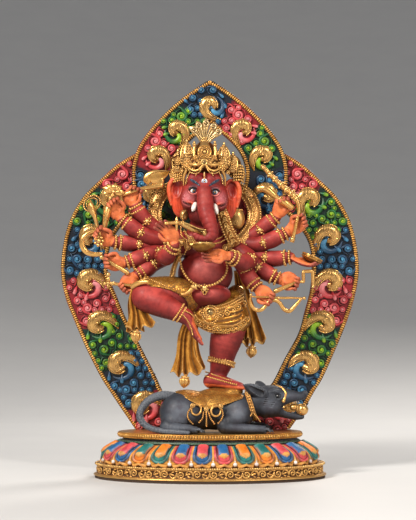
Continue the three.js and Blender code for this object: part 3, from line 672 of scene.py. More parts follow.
class Relief:
    """The carved ornament on one plate of the halo, split into painted and gilded shapes."""

    def __init__(self, front, centre_line):
        self.front = front
        self.line = smooth_path(centre_line, 80)
        self.paint, self.rims, self.scrolls, self.seeds = Kit(), Kit(), Kit(), []

    def seed(self, spot, zone):
        """Notes the zone that a spot's surroundings are coloured as, and returns the spot."""
        self.seeds.append((np.array(spot), zone))
        return spot

    def directions(self, spot):
        """Outward and onward directions in X and Z where the halo's band passes a spot."""
        nearest = int(np.argmin(np.linalg.norm(self.line - spot, axis=1)))
        nearest = min(max(nearest, 1), len(self.line) - 2)
        onward = unit(self.line[nearest + 1] - self.line[nearest - 1])
        outward = np.array([-onward[1], onward[0]])
        return (outward if outward @ (np.array(spot) - (0, 200)) > 0 else -outward), onward

    def lift(self, flat, rise):
        """Points in X and Z brought to the front face, standing out by rise."""
        flat = np.atleast_2d(flat)
        return np.column_stack([flat[:, 0], self.front - np.broadcast_to(rise, (len(flat),)), flat[:, 1]])

    def curl(self, spot, size, start, hand, zone):
        """A spiral curl with a light bead in its middle and a stem that leads into it."""
        turn = np.linspace(0, 1, 13)
        radius = size * (1 - 0.72 * turn)
        angle = start + hand * turn * 2.9 * math.pi
        spiral = np.array(spot) + np.stack([np.cos(angle), np.sin(angle)], 1) * radius[:, None]
        away = unit(spiral[0] - spiral[1])
        inward = unit(np.array(spot) - spiral[0])
        stem = [spiral[0] + away * reach + inward * drop
                for reach, drop in ((1.9 * size, 0.55 * size), (0.9 * size, 0.1))]
        path = np.vstack([stem, spiral])
        rise = np.concatenate([[-0.2, 0.3], np.linspace(0.6, 1.7, 13)])
        thick = np.concatenate([[0.35, 0.9], np.linspace(1.15, 0.85, 13)]) * size / 3.4
        shade = np.concatenate([[0.0, 0.3], np.linspace(0.5, 1.5, 13)])
        low = mixed(zone["ground"], zone["curl"], shade * 1.4)
        high = mixed(zone["curl"], zone["light"], shade - 0.75)
        tint = np.where((shade < 0.75)[:, None], low, high)
        self.paint.tube(self.lift(path, rise), thick, tint, sides=7, samples=46)
        self.paint.beads(self.lift(spot, 2.0), (0.3 * size, 0.36 * size, 0.3 * size), zone["light"])
        sweep = start - hand * np.linspace(0.2, 2.6, 6)
        arc = np.array(spot) + np.stack([np.cos(sweep), np.sin(sweep)], 1) * size * 1.38
        self.paint.tube(self.lift(arc, 0.1), (0.25, 0.5, 0.6, 0.6, 0.5, 0.25),
            mixed(zone["ground"], zone["curl"], [0.35])[0], sides=6)

    def petal(self, spot, size, towards, zone):
        """A teardrop that is lightest at its fat end."""
        reach = np.linspace(-1.25, 1.0, 5)[:, None] * size * np.array(towards)
        tint = mixed(zone["ground"], zone["curl"], [0.3, 0.7, 1, 1, 1])
        tint[3:] = mixed(zone["curl"], zone["light"], [0.45, 0.8])
        self.paint.tube(self.lift(np.array(spot) + reach, (0.1, 0.5, 0.9, 1.1, 1.1)),
                        np.array([0.3, 0.8, 1.3, 1.6, 1.3]) * size / 3, tint, thin=0.75)

    def comma(self, spot, zone, size):
        """A fat gold scroll with a chased face, hooked round a painted crescent."""
        directions = np.stack(self.directions(spot))

        def place(rows):
            return np.array(spot) + np.array(rows, float) @ directions * size

        body = place([(-0.6, 3.4), (3.6, 3.4), (6.6, -0.6), (3.4, -4.8), (-2.6, -5.4), (-8.0, -1.8),
            (-11.2, 4.4), (-11.8, 11.4)])
        thick = np.array([2.6, 4.9, 5.9, 6.0, 5.4, 4.2, 2.8, 0.8]) * size
        self.scrolls.tube(self.lift(body, (0.2, 0.5, 0.7, 0.7, 0.6, 0.5, 0.2, 0)), thick, GOLD * 0.72,
            sides=14, thin=0.6, samples=46)
        for number, lines in enumerate(COMMA_CHASING):
            self.scrolls.tube(self.lift(place(lines), (3.9 - 0.35 * number) * size), 0.45 * size,
                GOLD_EDGE, sides=5)
        edge = place([(0.4, 7.6), (5.6, 7.6), (11.0, 3.0), (11.2, -3.8), (6.4, -9.6), (-1.2, -10.6)])
        self.scrolls.tube(self.lift(edge, 1.3), 0.7 * size, GOLD_EDGE, sides=6)
        self.scrolls.beads(self.lift(place([(2.4, -0.6)]), 4.2 * size), (1.1 * size, 0.8, 1.1 * size),
            GOLD_EDGE)
        crescent = place([(-2.2, 2.4), (-5.2, 4.4), (-5.6, 8.6), (-2.2, 12.4), (3.0, 13.2), (8.4, 11.2),
            (11.8, 7.4)])
        tint = mixed(zone["light"], zone["curl"], [0, 0.15, 0.45, 0.9, 1, 1, 1])
        tint[5:] = mixed(zone["curl"], zone["ground"], [0.3, 0.6])
        self.paint.tube(self.lift(crescent, (1.2, 1.1, 0.8, 0.6, 0.4, 0.3, 0)),
                        np.array([1.8, 2.6, 2.9, 2.6, 2.2, 1.6, 0.5]) * size, tint, thin=0.7, sides=9)
        self.seed(place([(-1, 8)])[0], zone)

    def gaps(self, keep, pitch, start):
        """Small curls and ridges of the ground colour that fill what the units leave open."""
        taken = [np.asarray(spot, float) for spot, _ in self.seeds]
        low, high = self.line.min(0) - 30, self.line.max(0) + 30
        number = start
        for z in np.arange(low[1], high[1], pitch):
            for x in np.arange(low[0], high[0], pitch):
                number += 1
                point = np.array([x + pitch * 0.5 * (int(z / pitch) % 2), z])
                if not keep(point, 2.2):
                    continue
                if min(np.linalg.norm(spot - point) for spot in taken) < pitch * 0.86:
                    continue
                nearest = int(np.argmin([np.linalg.norm(spot - point) for spot, _ in self.seeds]))
                taken.append(point)
                self.curl(point, 2.5, number * 1.3, 1 if number % 2 else -1, self.seeds[nearest][1])

    def unit(self, spot, zone, pattern, size, keep=None):
        """A comma and the curls around it. keep says whether a place is on the plate."""
        outward, onward = self.directions(spot)
        self.comma(spot, zone, size)
        side = 1 if spot[0] >= 0 else -1
        for i, (kind, out, on, scale) in enumerate(pattern):
            point = np.array(spot) + outward * out * size + onward * on * size
            if keep and not keep(point, scale):
                continue
            self.seed(point, zone)
            lean = math.atan2(outward[1], outward[0]) + (0.9 * i + 0.4) * side
            if kind == "curl":
                self.curl(point, scale, lean, side * (1 if i % 2 else -1), zone)
            else:
                self.petal(point, scale, unit(outward * 0.5 + onward * (0.85 if on > 0 else -0.85)), zone)

    def ground(self, flat):
        """The ground colour under each place, which is that of the nearest ornament."""
        places = np.array([spot for spot, _ in self.seeds])
        nearest = np.argmin(np.linalg.norm(flat[:, None] - places[None], axis=2), axis=1)
        colours = np.array([zone["ground"] for _, zone in self.seeds])
        return colours[nearest]


def rim(kit, line, front, inward):
    """A close row of oval beads on a dark strip, along a line in X and Z. inward is the shift."""
    path = smooth_path(line, 200)
    along = np.gradient(path, axis=0)
    along /= np.linalg.norm(along, axis=1, keepdims=True)
    side = np.stack([along[:, 1], -along[:, 0]], 1) * inward
    path = path + side
    spots, along = evenly(path, 1.95)
    centres = np.column_stack([spots[:, 0], np.full(len(spots), front - 0.7), spots[:, 1]])
    forward = np.column_stack([along[:, 0], np.zeros(len(along)), along[:, 1]])
    depth = np.tile([0.0, 1.0, 0.0], (len(along), 1))
    axes = np.stack([forward, np.cross(depth, forward), depth], axis=2)
    kit.beads(centres, (0.84, RIM, 1.1), GOLD_EDGE, axes=axes, sides=10, rings=6)
    strip = np.column_stack([path[:, 0], np.full(len(path), front + 0.5), path[:, 1]])
    # The dark strip behind the beads is painted shade in the gaps between them.
    kit.tube(strip, RIM - 0.15, GOLD * 0.12, thin=0.3, raw=True, sides=8)


def mirrored(line, side=-1):
    """A line in X and Z on the other side of the middle, or left as it is when side is 1."""
    return [(x * side, z) for x, z in line]


def middle_line(outer, inner):
    """The line halfway between the two edges of a band."""
    return (smooth_path(outer, 60) + smooth_path(inner, 60)) / 2


def inside_band(outer, inner, margin):
    """A test of whether an ornament of some size keeps clear of the rims of a band."""
    edges = np.vstack([smooth_path(outer, 120), smooth_path(inner, 120)])

    def test(point, size):
        return np.linalg.norm(edges - point, axis=1).min() > size * 0.9 + margin

    return test


def inside_shape(outer, inner, margin):
    """A test of whether a point is between two lines, and clear of both."""
    outer, inner = smooth_path(outer, 90), smooth_path(inner, 90)
    shape = np.vstack([outer, inner[::-1]])
    following = np.roll(shape, -1, axis=0)
    clear = inside_band(outer, inner, margin)

    def test(point, size):
        above = (shape[:, 1] > point[1]) != (following[:, 1] > point[1])
        rise = np.where(following[:, 1] == shape[:, 1], 1, following[:, 1] - shape[:, 1])
        cross = shape[:, 0] + (point[1] - shape[:, 1]) * (following[:, 0] - shape[:, 0]) / rise
        return bool(np.sum(above & (cross > point[0])) % 2) and clear(point, size)

    return test


def build_ring():
    """The pointed head ring: blue at the apex, then red, green and blue down one side and green first
    down the other."""
    relief = Relief(RING_FRONT, middle_line(RING_OUTER, RING_INNER))
    keep = inside_band(RING_OUTER + mirrored(RING_OUTER), RING_INNER + mirrored(RING_INNER), 1.6)
    for (x, z), zone in (((27.5, 302), RED), ((45, 279), GREEN), ((49, 246), BLUE)):
        relief.unit((x, z), zone, CURLS_BEFORE, 0.86, keep)
    relief.line = relief.line * (-1, 1)
    for (x, z), zone in (((-27.5, 301), GREEN), ((-45, 279), RED), ((-49, 246), BLUE)):
        relief.unit((x, z), zone, CURLS_BEFORE, 0.86, keep)
    relief.line = np.array([(-20.0, 322.0), (0.0, 322.5), (20.0, 322.0)])
    relief.unit((0, 322), BLUE, [], 0.86)
    for x, z, size, hand in ((-7.5, 338, 3.0, 1), (2.5, 338, 3.2, -1), (-15, 331, 3.2, 1),
            (-17, 320.5, 3.2, 1)):
        relief.curl(relief.seed((x, z), BLUE), size, 2.0, hand, BLUE)
    for x, z, lean in ((9.5, 333.5, (0.7, -0.7)), (13, 325, (0.3, -0.95)), (11.5, 316, (-0.5, -0.85)),
            (-20.5, 327, (-0.7, 0.7))):
        relief.petal(relief.seed((x, z), BLUE), 2.9, lean, BLUE)
    for x, z, size, hand, zone in ((-42, 227, 3.4, 1, GREEN), (-36, 222, 2.6, -1, GREEN),
            (-53, 232, 2.8, -1, BLUE), (-34, 236, 3.2, -1, GREEN), (-29, 229, 2.6, 1, GREEN),
            (38, 226, 3.4, -1, RED), (33, 236, 3.2, 1, RED), (29, 229, 2.6, -1, RED),
            (31, 220, 2.8, 1, RED), (52, 231, 3.0, 1, BLUE)):
        relief.curl(relief.seed((x, z), zone), size, 0.8, hand, zone)
    halves = [inside_shape(mirrored(RING_OUTER, side), mirrored(RING_INNER, side), 2.0) for side in (1, -1)]
    relief.gaps(lambda point, size: any(half(point, size) for half in halves), 6.0, 0)
    for line, inward in ((RING_OUTER, RIM), (RING_INNER, -RIM)):
        rim(relief.rims, line, RING_FRONT, inward)
        rim(relief.rims, mirrored(line), RING_FRONT, -inward)
    outer = mirrored(RING_OUTER)[::-1] + RING_OUTER[1:]
    inner = mirrored(RING_INNER)[::-1] + RING_INNER[1:]
    plate = plate_mesh("ring_plate", outer, inner, RING_FRONT, RING_BACK, relief.ground, around=240)
    add_piece("ring_plate", plate, ENAMEL, node="halo_head_ring", body="halo", slot="ring_paint")
    relief.paint.piece("ring_curls", ENAMEL, body="halo", slot="ring_paint")
    relief.rims.piece("ring_rims", RIM_GILT, body="halo")
    relief.scrolls.piece("ring_scrolls", SCROLL_GILT, 3, body="halo")


SIDE_COMMAS = [((86.5, 240), GREEN), ((103.5, 208), BLUE), ((105, 169), RED), ((98, 132.5), GREEN),
    ((83.5, 97), BLUE), ((63.5, 62), RED)]
LOW_SHIFT = {1: 1.0, -1: -6.5}  # how far a side's lowest scrolls stand from those places, in X


def build_side(name, side, node):
    """One curved side of the halo. Its painted zones follow its commas from the top down."""
    outer = mirrored(OUTER_TOP + OUTER_FEET[side], side)
    inner = mirrored(INNER_TOP + INNER_FEET[side], side)
    relief = Relief(SIDE_FRONT, middle_line(outer, inner))
    keep = inside_band(outer, inner, 1.4)
    for (x, z), zone in SIDE_COMMAS:
        low = min(max((150 - z) / 60, 0), 1)
        relief.unit(((x + low * LOW_SHIFT[side]) * side, z), zone, CURLS_AFTER, 1.0, keep)
    for x, z, size, hand in ((77.5, 263.5, 4.8, 1), (73.5, 252.5, 3.6, -1), (91, 255, 3.8, -1),
            (71.5, 273, 2.6, 1)):
        relief.curl(relief.seed((x * side, z), RED), size, 1.2, hand * side, RED)
    relief.gaps(inside_shape(outer, inner, 2.2), 6.4, 3)
    rim(relief.rims, outer, SIDE_FRONT, RIM * side)
    rim(relief.rims, inner, SIDE_FRONT, -RIM * side)
    add_tang(relief.rims, side)
    plate = plate_mesh(f"{name}_plate", outer, inner, SIDE_FRONT, SIDE_BACK, relief.ground)
    add_piece(f"{name}_plate", plate, ENAMEL, node=node, body="halo", slot="side_paint")
    relief.paint.piece(f"{name}_curls", ENAMEL, body="halo", slot="side_paint")
    relief.rims.piece(f"{name}_rims", RIM_GILT, body="halo")
    relief.scrolls.piece(f"{name}_scrolls", SCROLL_GILT, 3, body="halo")


build_ring()
build_side("left_side", 1, "halo_left_side")
build_side("right_side", -1, "halo_right_side")
build_rivets()


# ---------------------------------------------------------------- shared helpers for the figure

FRONT = np.array([0.0, -1.0, 0.0])
DEPTH_RATIO = 0.58  # the pedestal's depth over its width

SKIN_PAINT = enamel("skin_enamel", 0.6, 0.2, (0.66, 0.2, 0.16), 0.4, 0.06)
EAR_PAINT = enamel("ear_enamel", 0.42, 0.24, (0.95, 0.4, 0.2), 0.5, 0.15)
RAT_PAINT = enamel("rat_enamel", 0.56, 0.16, (0.2, 0.22, 0.25), 0.5, 0.04)
PETAL_PAINT = enamel("petal_enamel", 0.46, 0.2, (0.9, 0.85, 0.75), 0.1, 0.1)
IVORY_PAINT = enamel("ivory_enamel", 0.3, 0.5, (1.0, 0.98, 0.94), 0.3, 0.4)
CLOTH_GILT = gilding("cloth_gilding", 0.34, 0.6)
BROCADE_GILT = gilding("brocade_gilding", 0.34, 0.95, chased=420.0)
SMOOTH_GILT = gilding("smooth_gilding", 0.26, 0.85)


def sided(middle, side, points):
    """Points with X measured from a middle, to the viewer's right, or to the left where side is -1."""
    return [(middle + side * x, y, z) for x, y, z in points]


def round_angles(count):
    """Angles evenly round a circle, from 0."""
    return [i / count * 2 * math.pi for i in range(count)]


def painted(base, *patches):
    """Airbrushing and painted light: base colour, and patches of (centre, reach, colour, share) that fade
    outwards, many of them painted highlights and painted shade. Surfaces facing down get painted shade.
    """
    def tint(points, normals):
        colour = np.tile(base, (len(points), 1))
        for centre, reach, other, share in patches:
            away = np.linalg.norm((points - centre) / reach, axis=1)
            amount = (share * np.clip(1.15 - away, 0, 1))[:, None]
            colour = colour * (1 - amount) + other * amount
        # Painted shade on surfaces that face down.
        below = 0.62 * np.clip(0.2 - normals[:, 2:], 0, 1)
        return colour * (1 - below * (0.85, 1.0, 1.0))

    return tint


def turned(kit, profile, tint, around, shift=None):
    """An oval body turned from a profile of radius and height that starts and ends on the axis."""
    profile = np.asarray(profile, float)[1:-1]
    angle = np.arange(around) / around * 2 * np.pi
    radius = np.tile(profile[:, 0], (around, 1))
    height = np.tile(profile[:, 1], (around, 1))
    if shift is not None:
        radius = radius + shift[0]
        height = height + shift[1]
        angle = shift[2]
    points = np.stack([radius * np.cos(angle)[:, None], radius * np.sin(angle)[:, None] * DEPTH_RATIO,
        height], 2)
    rows = len(profile)
    index = np.arange(around * rows).reshape(around, rows)
    following = np.roll(index, -1, axis=0)
    quads = np.stack([index[:, :-1], following[:, :-1], following[:, 1:], index[:, 1:]], -1).reshape(-1, 4)
    low, high = around * rows, around * rows + 1
    ends = np.vstack([np.stack([following[:, 0], index[:, 0], np.full(around, low)], 1),
                      np.stack([index[:, -1], following[:, -1], np.full(around, high)], 1)])
    middle = [[0, 0, profile[0, 1]], [0, 0, profile[-1, 1]]]
    tint = np.asarray(tint, float)
    if tint.ndim == 3:
        tint = np.vstack([tint.reshape(-1, 3), tint[0, 0], tint[0, -1]])
    kit.add(np.vstack([points.reshape(-1, 3), middle]), [quads, ends], tint)


def oval_angles(radius, count, start=0.0):
    """Angles of places at an even pitch round the oval, from a distance start past the front middle."""
    fine = np.linspace(0, 2 * np.pi, 2001) - math.pi / 2
    line = np.stack([radius * np.cos(fine), radius * np.sin(fine) * DEPTH_RATIO], 1)
    travelled = np.concatenate([[0], np.cumsum(np.linalg.norm(np.diff(line, axis=0), axis=1))])
    wanted = (start + np.arange(count) / count * travelled[-1]) % travelled[-1]
    return np.interp(wanted, travelled, fine), travelled[-1]


def on_oval(radius, angles, height):
    """Points on the pedestal's oval at some angles."""
    return np.stack([radius * np.cos(angles), radius * np.sin(angles) * DEPTH_RATIO,
                     np.broadcast_to(height, np.shape(angles))], -1)


def carve(mesh, boxes):
    """Cuts boxes, given as low and high corners in millimetres, out of a mesh."""
    target = bpy.data.objects.new("carved", mesh)
    bpy.context.scene.collection.objects.link(target)
    cutters = []
    for low, high in boxes:
        low, high = np.asarray(low, float), np.asarray(high, float)
        corners = np.array([[x, y, z] for x in (0, 1) for y in (0, 1) for z in (0, 1)]) * (high - low) + low
        quads = np.array([[0, 1, 3, 2], [4, 6, 7, 5], [0, 4, 5, 1], [2, 3, 7, 6], [0, 2, 6, 4], [1, 5, 7, 3]])
        cutter = bpy.data.objects.new("cutter", make_mesh("cutter", corners, [quads], np.tile(BLACK, (8, 1))))
        bpy.context.scene.collection.objects.link(cutter)
        change = target.modifiers.new("cut", "BOOLEAN")
        change.object = cutter
        change.solver = "EXACT"
        cutters.append(cutter)
    bpy.context.view_layer.update()
    done = bpy.data.meshes.new_from_object(target.evaluated_get(bpy.context.evaluated_depsgraph_get()))
    for used in (target, *cutters):
        bpy.data.objects.remove(used)
    return done


def spiral(turns, start_radius, end_radius, start_angle, hand, count=14):
    """A flat spiral about the origin as two columns."""
    share = np.linspace(0, 1, count)
    radius = start_radius + (end_radius - start_radius) * share
    angle = start_angle + hand * turns * 2 * np.pi * share
    return np.stack([radius * np.cos(angle), radius * np.sin(angle)], 1)


# ---------------------------------------------------------------- pedestal

PETALS = 26
ORANGE, TEAL = srgb(236, 132, 34), srgb(34, 122, 116)
BLUE_PETAL, CORAL = srgb(34, 100, 156), srgb(218, 78, 84)
PETAL_COLOURS = [(BLUE_PETAL, CORAL), (CORAL, BLUE_PETAL), (TEAL, ORANGE), (ORANGE, TEAL)]
TANG_BOXES = [((low, 19.4, 30.8), (high, 23.9, 45.0)) for low, high in ((43.8, 56.2), (-56.2, -43.8))]


def build_plinth():
    """The gilded band at the foot, scooped in and carved with a running scroll between two edges."""
    kit = Kit()
    profile = [(0, 2.3), (99.4, 2.3), (100, 2.7), (99.6, 3.4), (97.4, 4.2), (96.0, 5.4), (95.4, 7.0),
        (95.6, 8.8), (96.4, 10.2), (97.8, 11.1), (98.4, 11.7), (98.2, 12.4), (0, 12.5)]
    turned(kit, profile, GOLD * 0.8, 220)
    angles, length = oval_angles(98.6, 252)
    kit.beads(on_oval(98.0, angles, 12.0), 1.0, GOLD_PALE, sides=7, rings=4)
    angles, _ = oval_angles(99.0, 36, 3.0)
    pitch = length / 36
    for number, middle in enumerate(angles):
        flip = 1 if number % 2 else -1
        rate = pitch / np.linalg.norm(on_oval(96.0, np.array([middle + 0.01]), 0.0)
                                      - on_oval(96.0, np.array([middle - 0.01]), 0.0)) * 0.02

        def place(flat, out):
            flat = np.asarray(flat, float)
            turn = middle + flat[:, 0] / pitch * rate
            return on_oval(96.2 + np.asarray(out), turn, 7.4 + flat[:, 1] * flip)

        coil = spiral(1.5, 3.3, 0.5, 3.4, -1)
        kit.tube(place(coil, np.linspace(0.2, 1.0, 14)), np.linspace(0.85, 0.5, 14), GOLD, sides=6)
        stem = [(-3.2, -0.8), (-4.8, 2.6), (-7.4, 3.0), (-9.4, 0.4)]
        kit.tube(place(stem, 0.1), (0.85, 0.9, 0.75, 0.4), GOLD, sides=6)
        for root, tip, thick in (((1.6, 2.9), (5.2, 3.3), 1.0), ((3.8, 0.4), (6.6, -1.2), 0.95),
                                 ((-5.0, -2.9), (-1.8, -3.4), 0.8), ((0.0, -0.3), (0.9, -0.2), 0.7),
                                 ((5.6, 1.2), (8.0, 2.0), 0.8), ((-7.6, -0.4), (-5.2, 0.6), 0.8),
                                 ((6.8, -2.9), (9.4, -2.4), 0.8)):
            middle_point = (np.array(root) + tip) / 2 + (0.3, 0.5)
            kit.tube(place([root, middle_point, tip], 0.2), (0.3, thick, 0.25), GOLD, sides=6)
    kit.piece("plinth_visual", GILT, 4, node="plinth_band")


def petal_surface(across, up):
    """Height in millimetres and paint number over one petal. up runs from 0 at the lip to 1 at the top."""
    rise = up * 21.5
    half_width = 8.4 - 1.7 * up
    x = across * half_width
    # The outer petal is a U: straight sides over a round foot.
    foot = 12.6
    low = np.maximum(foot - rise, 0)
    from_middle = np.hypot(x, low)
    outer = 7.5 - 1.2 * up
    inside = np.clip((outer - from_middle) / 1.3, 0, 1)
    height = 1.7 * np.sqrt(np.clip(inside, 0, 1)) * np.clip((rise - 0.3) / 1.5, 0, 1)
    height = height - 0.9 * np.exp(-((from_middle - 4.6) / 0.7) ** 2) * (inside > 0.5)
    tongue_x = x / (4.2 - 0.5 * up)
    tongue_low = np.maximum(13.6 - rise, 0) / 3.2
    tongue = np.clip(1 - np.hypot(tongue_x, tongue_low) ** 2.6, 0, 1)
    height = height + 2.3 * np.sqrt(tongue) * (0.75 + 0.35 * np.clip((14 - rise) / 8, 0, 1))
    paint = np.where(inside > 0.08, 1, 0)
    paint = np.where(tongue > 0.05, 2, paint)
    paint = np.where((tongue > 0.05) & (rise < 12.6 - 0.5 * (x / 3.3) ** 2), 3, paint)
    # The gold lip below: two lobes that meet in a point under the petal's middle.
    lobe = 3.2 + 1.2 * np.cos(x / 5.6 * math.pi * 1.15) + 0.6 * np.exp(-(x / 1.1) ** 2)
    lip = np.clip(1 - np.abs(rise - lobe) / 2.1, 0, 1) * np.clip((6.4 - np.abs(x)) / 1.2, 0, 1)
    height = np.maximum(height, 2.5 * np.sqrt(lip))
    paint = np.where((lip > 0.08) & (rise < lobe + 1.7), 3, paint)
    # Gold veins rise between neighbouring petals.
    for place in (0.93, 0.99):
        vein = np.exp(-((np.abs(across) - place) / 0.035) ** 2) * np.clip((rise - 2) / 2, 0, 1)
        height = np.maximum(height, 1.0 * vein)
        paint = np.where((vein > 0.3) & (rise > 2), 3, paint)
    paint = np.where((paint == 0) & (rise < 16), 3, paint)
    return height * np.clip((1.02 - up) / 0.08, 0, 1), paint


def build_lotus():
    """The lotus tier as one surface of petals, with a pearl in each notch below."""
    across_steps, up_steps = 34, 46
    slope = smooth_path([(90.4, 13.2), (92.2, 15.0), (92.4, 18.0), (89.6, 22.5), (83.5, 26.5),
        (77.5, 29.6)], up_steps)
    length = oval_angles(86.0, 1)[1]
    angles, _ = oval_angles(86.0, PETALS * across_steps, -6.0 - length / PETALS / 2)
    across = (np.arange(PETALS * across_steps) % across_steps) / across_steps * 2 - 1
    height, paint = petal_surface(across[:, None], np.linspace(0, 1, up_steps)[None, :])
    number = np.arange(PETALS * across_steps) // across_steps
    cycle = np.minimum(number, PETALS - number)
    colours = np.array([[GOLD_DEEP * 0.4, outer, tongue, GOLD] for outer, tongue in PETAL_COLOURS])
    tint = colours[(cycle % 4)[:, None], paint]
    fade = 1 - 0.65 * np.exp(-((np.abs(across)[:, None] - 0.62) / 0.14) ** 2) * (paint == 1)
    tint = tint * fade[..., None]
    profile = np.vstack([[(0, 12.8), (89.6, 12.8)], slope, [(76.5, 30.0), (0, 30.0)]])
    rows = len(profile) - 2
    radial, lift = np.zeros((len(angles), rows)), np.zeros((len(angles), rows))
    normal = np.gradient(slope, axis=0)
    normal = np.stack([normal[:, 1], -normal[:, 0]], 1) / np.linalg.norm(normal, axis=1)[:, None]
    radial[:, 1:-1] = height * normal[:, 0]
    lift[:, 1:-1] = height * normal[:, 1]
    tints = np.tile(BLACK * 1.5, (len(angles), rows, 1))
    tints[:, 1:-1] = tint
    kit = Kit()
    turned(kit, profile, tints, len(angles), (radial, lift, angles))
    kit.piece("lotus_visual", PETAL_PAINT, 5, node="lotus_tier")
    pearls = Kit()
    notches, _ = oval_angles(86.0, PETALS, -6.0 - length / PETALS / 2)
    pearls.stud(on_oval(92.8, notches, 15.4), 1.75, WHITE)
    pearls.beads(on_oval(92.4, notches, 17.6), (0.8, 0.8, 1.3), WHITE * 0.8)
    pearls.piece("lotus_pearls", IVORY_PAINT)


def build_slab():
    """The green neck and the gilded top slab with its beaded rim. Both are cut for the halo's tangs."""
    kit = Kit()
    profile = [(0, 30.3), (76.6, 30.3), (77.8, 30.8), (77.8, 31.6), (76.8, 32.3), (75.0, 32.8),
        (75.0, 34.4), (0, 34.5)]
    green = np.tile(srgb(20, 74, 28), (160, len(profile) - 2, 1))
    green[:, 4:] = BLACK * 1.4
    turned(kit, profile, green, 160)
    neck = carve(kit.mesh("neck_visual"), TANG_BOXES)
    add_relief(neck)
    add_piece("neck_visual", neck, ENAMEL, node="pedestal_neck", slot="neck_paint")
    kit = Kit()
    profile = [(0, 34.8), (77.0, 34.8), (78.4, 35.3), (78.6, 38.0), (77.4, 38.9), (76.0, 39.0), (0, 39.0)]
    gold = np.tile(srgb(206, 142, 44), (160, len(profile) - 2, 1))
    gold[:, :3] = srgb(84, 44, 18)
    turned(kit, profile, gold, 160)
    slab = carve(kit.mesh("slab_visual"), TANG_BOXES)
    add_relief(slab)
    add_piece("slab_visual", slab, GILT, node="top_slab")
    kit = Kit()
    angles, _ = oval_angles(79.0, 172)
    kit.beads(on_oval(78.8, angles, 36.8), (1.0, 1.0, 1.5), GOLD_EDGE, sides=10, rings=6)
    for radius, height, thick in ((78.6, 38.4, 0.55), (78.4, 35.2, 0.5)):
        hoop = on_oval(radius, np.linspace(0, 2 * np.pi, 161), height)
        kit.tube(hoop, thick, GOLD, side=(0, 0, 1), raw=True, sides=6)
    kit.piece("slab_beads", RIM_GILT)


def paint_cover():
    """Felt over the underside, on the CAD node itself."""
    tree = Tree("felt")
    fibre = tree.noise(700.0, 6.0, 0.7)
    tree.set(Base_Color=tree.mix(fibre, (0.03, 0.02, 0.015), (0.09, 0.05, 0.03)), Roughness=0.95)
    tree.bump(fibre, 0.3 * MM)
    return tree.material


build_plinth()
build_lotus()
build_slab()

cover = bpy.data.objects["base_cover"]
cover.data.materials.clear()
cover.data.materials.append(paint_cover())


# ---------------------------------------------------------------- rat

def build_rat_body():
    """The lying rat without its head: haunch, barrel, shoulder and four folded legs."""
    clay = Clay((-48, -46, 38.4), (62, 18, 80))
    clay.ball((-20, -14, 56), (23, 19, 18), 3)
    clay.ball((-27, -22, 55), (15, 14, 17), 3, turn=(0, 14, 0))
    clay.ball((6, -14, 57), (26, 16, 16), 5)
    clay.ball((24, -18, 56), (13, 15, 15), 4)
    clay.tube([(22, -14, 58), (34, -14, 62), (42, -14, 66)], (13, 11, 10), 4)
    clay.tube([(-27, -27, 48), (-35, -32, 45), (-26, -36, 43), (-18, -37, 43)], (9, 7, 5, 3.6), 3)
    clay.tube([(-20, -37, 43), (-12, -39, 42.4)], (4, 3.2), 2)
    clay.tube([(25, -26, 52), (12, -31, 45.5), (20, -33, 43.6), (34, -34, 43), (45, -34, 42.6)],
        (9, 6.4, 5, 4, 3.3), 2.5)
    clay.tube([(28, 0, 52), (20, 6, 45), (36, 8, 43), (46, 8, 42.6)], (9, 6, 4, 3.2), 2.5)
    clay.tube([(-27, 0, 50), (-32, 6, 45), (-18, 10, 43), (-12, 10, 42.4)], (9, 7, 4.4, 3.2), 2.5)
    for x, y in ((45.5, -34), (46.5, 8), (-11.5, -39), (-11.5, 10)):
        for toe in range(4):
            side = (toe - 1.5) * 1.7
            clay.tube([(x, y + side * 0.8, 42.8), (x + 2.6, y + side, 43.2), (x + 4.8, y + side * 1.1, 41.2)],
                      (1.3, 1.25, 0.8), 0.4)
    # The crease behind the haunch and the folds between the legs and the barrel.
    clay.tube([(-9, -33, 68), (-8, -36, 58), (-11, -38, 49)], 0.9, 1.6, cut=True)
    clay.tube([(13, -31, 66), (12, -35, 58), (14, -37, 50)], 0.8, 1.6, cut=True)
    # Painted light: pale patches on the haunch, shoulder and legs are painted highlights, and dark ones under
    # the barrel and the neck are painted shade.
    tint = painted(RAT, ((-24, -34, 57), (13, 14, 12), RAT_HIGHLIGHT, 0.62),
        ((24, -34, 58), (8, 12, 10), RAT_HIGHLIGHT, 0.6), ((-30, -42, 45), (22, 9, 4), RAT_HIGHLIGHT, 0.4),
        ((32, -40, 45), (20, 9, 4), RAT_HIGHLIGHT, 0.45), ((3, -34, 48), (13, 12, 12), RAT_SHADE, 0.9),
        ((38, -30, 54), (9, 14, 8), RAT_SHADE, 0.7), ((50, -34, 43), (5, 6, 4), BLACK, 0.9))
    clay.piece("rat_body_visual", tint, RAT_PAINT, node="rat_body")
    claws = Kit()
    for x, y in ((50.2, -34), (51.2, 8), (-6.8, -39), (-6.8, 10)):
        for toe in range(4):
            side = (toe - 1.5) * 1.9
            claws.tube([(x, y + side, 42.2), (x + 1.7, y + side, 41.8), (x + 2.6, y + side * 1.05, 40)],
                (0.8, 0.6, 0.15), BLACK, sides=7)
    claws.piece("rat_claws", RAT_PAINT, 2)


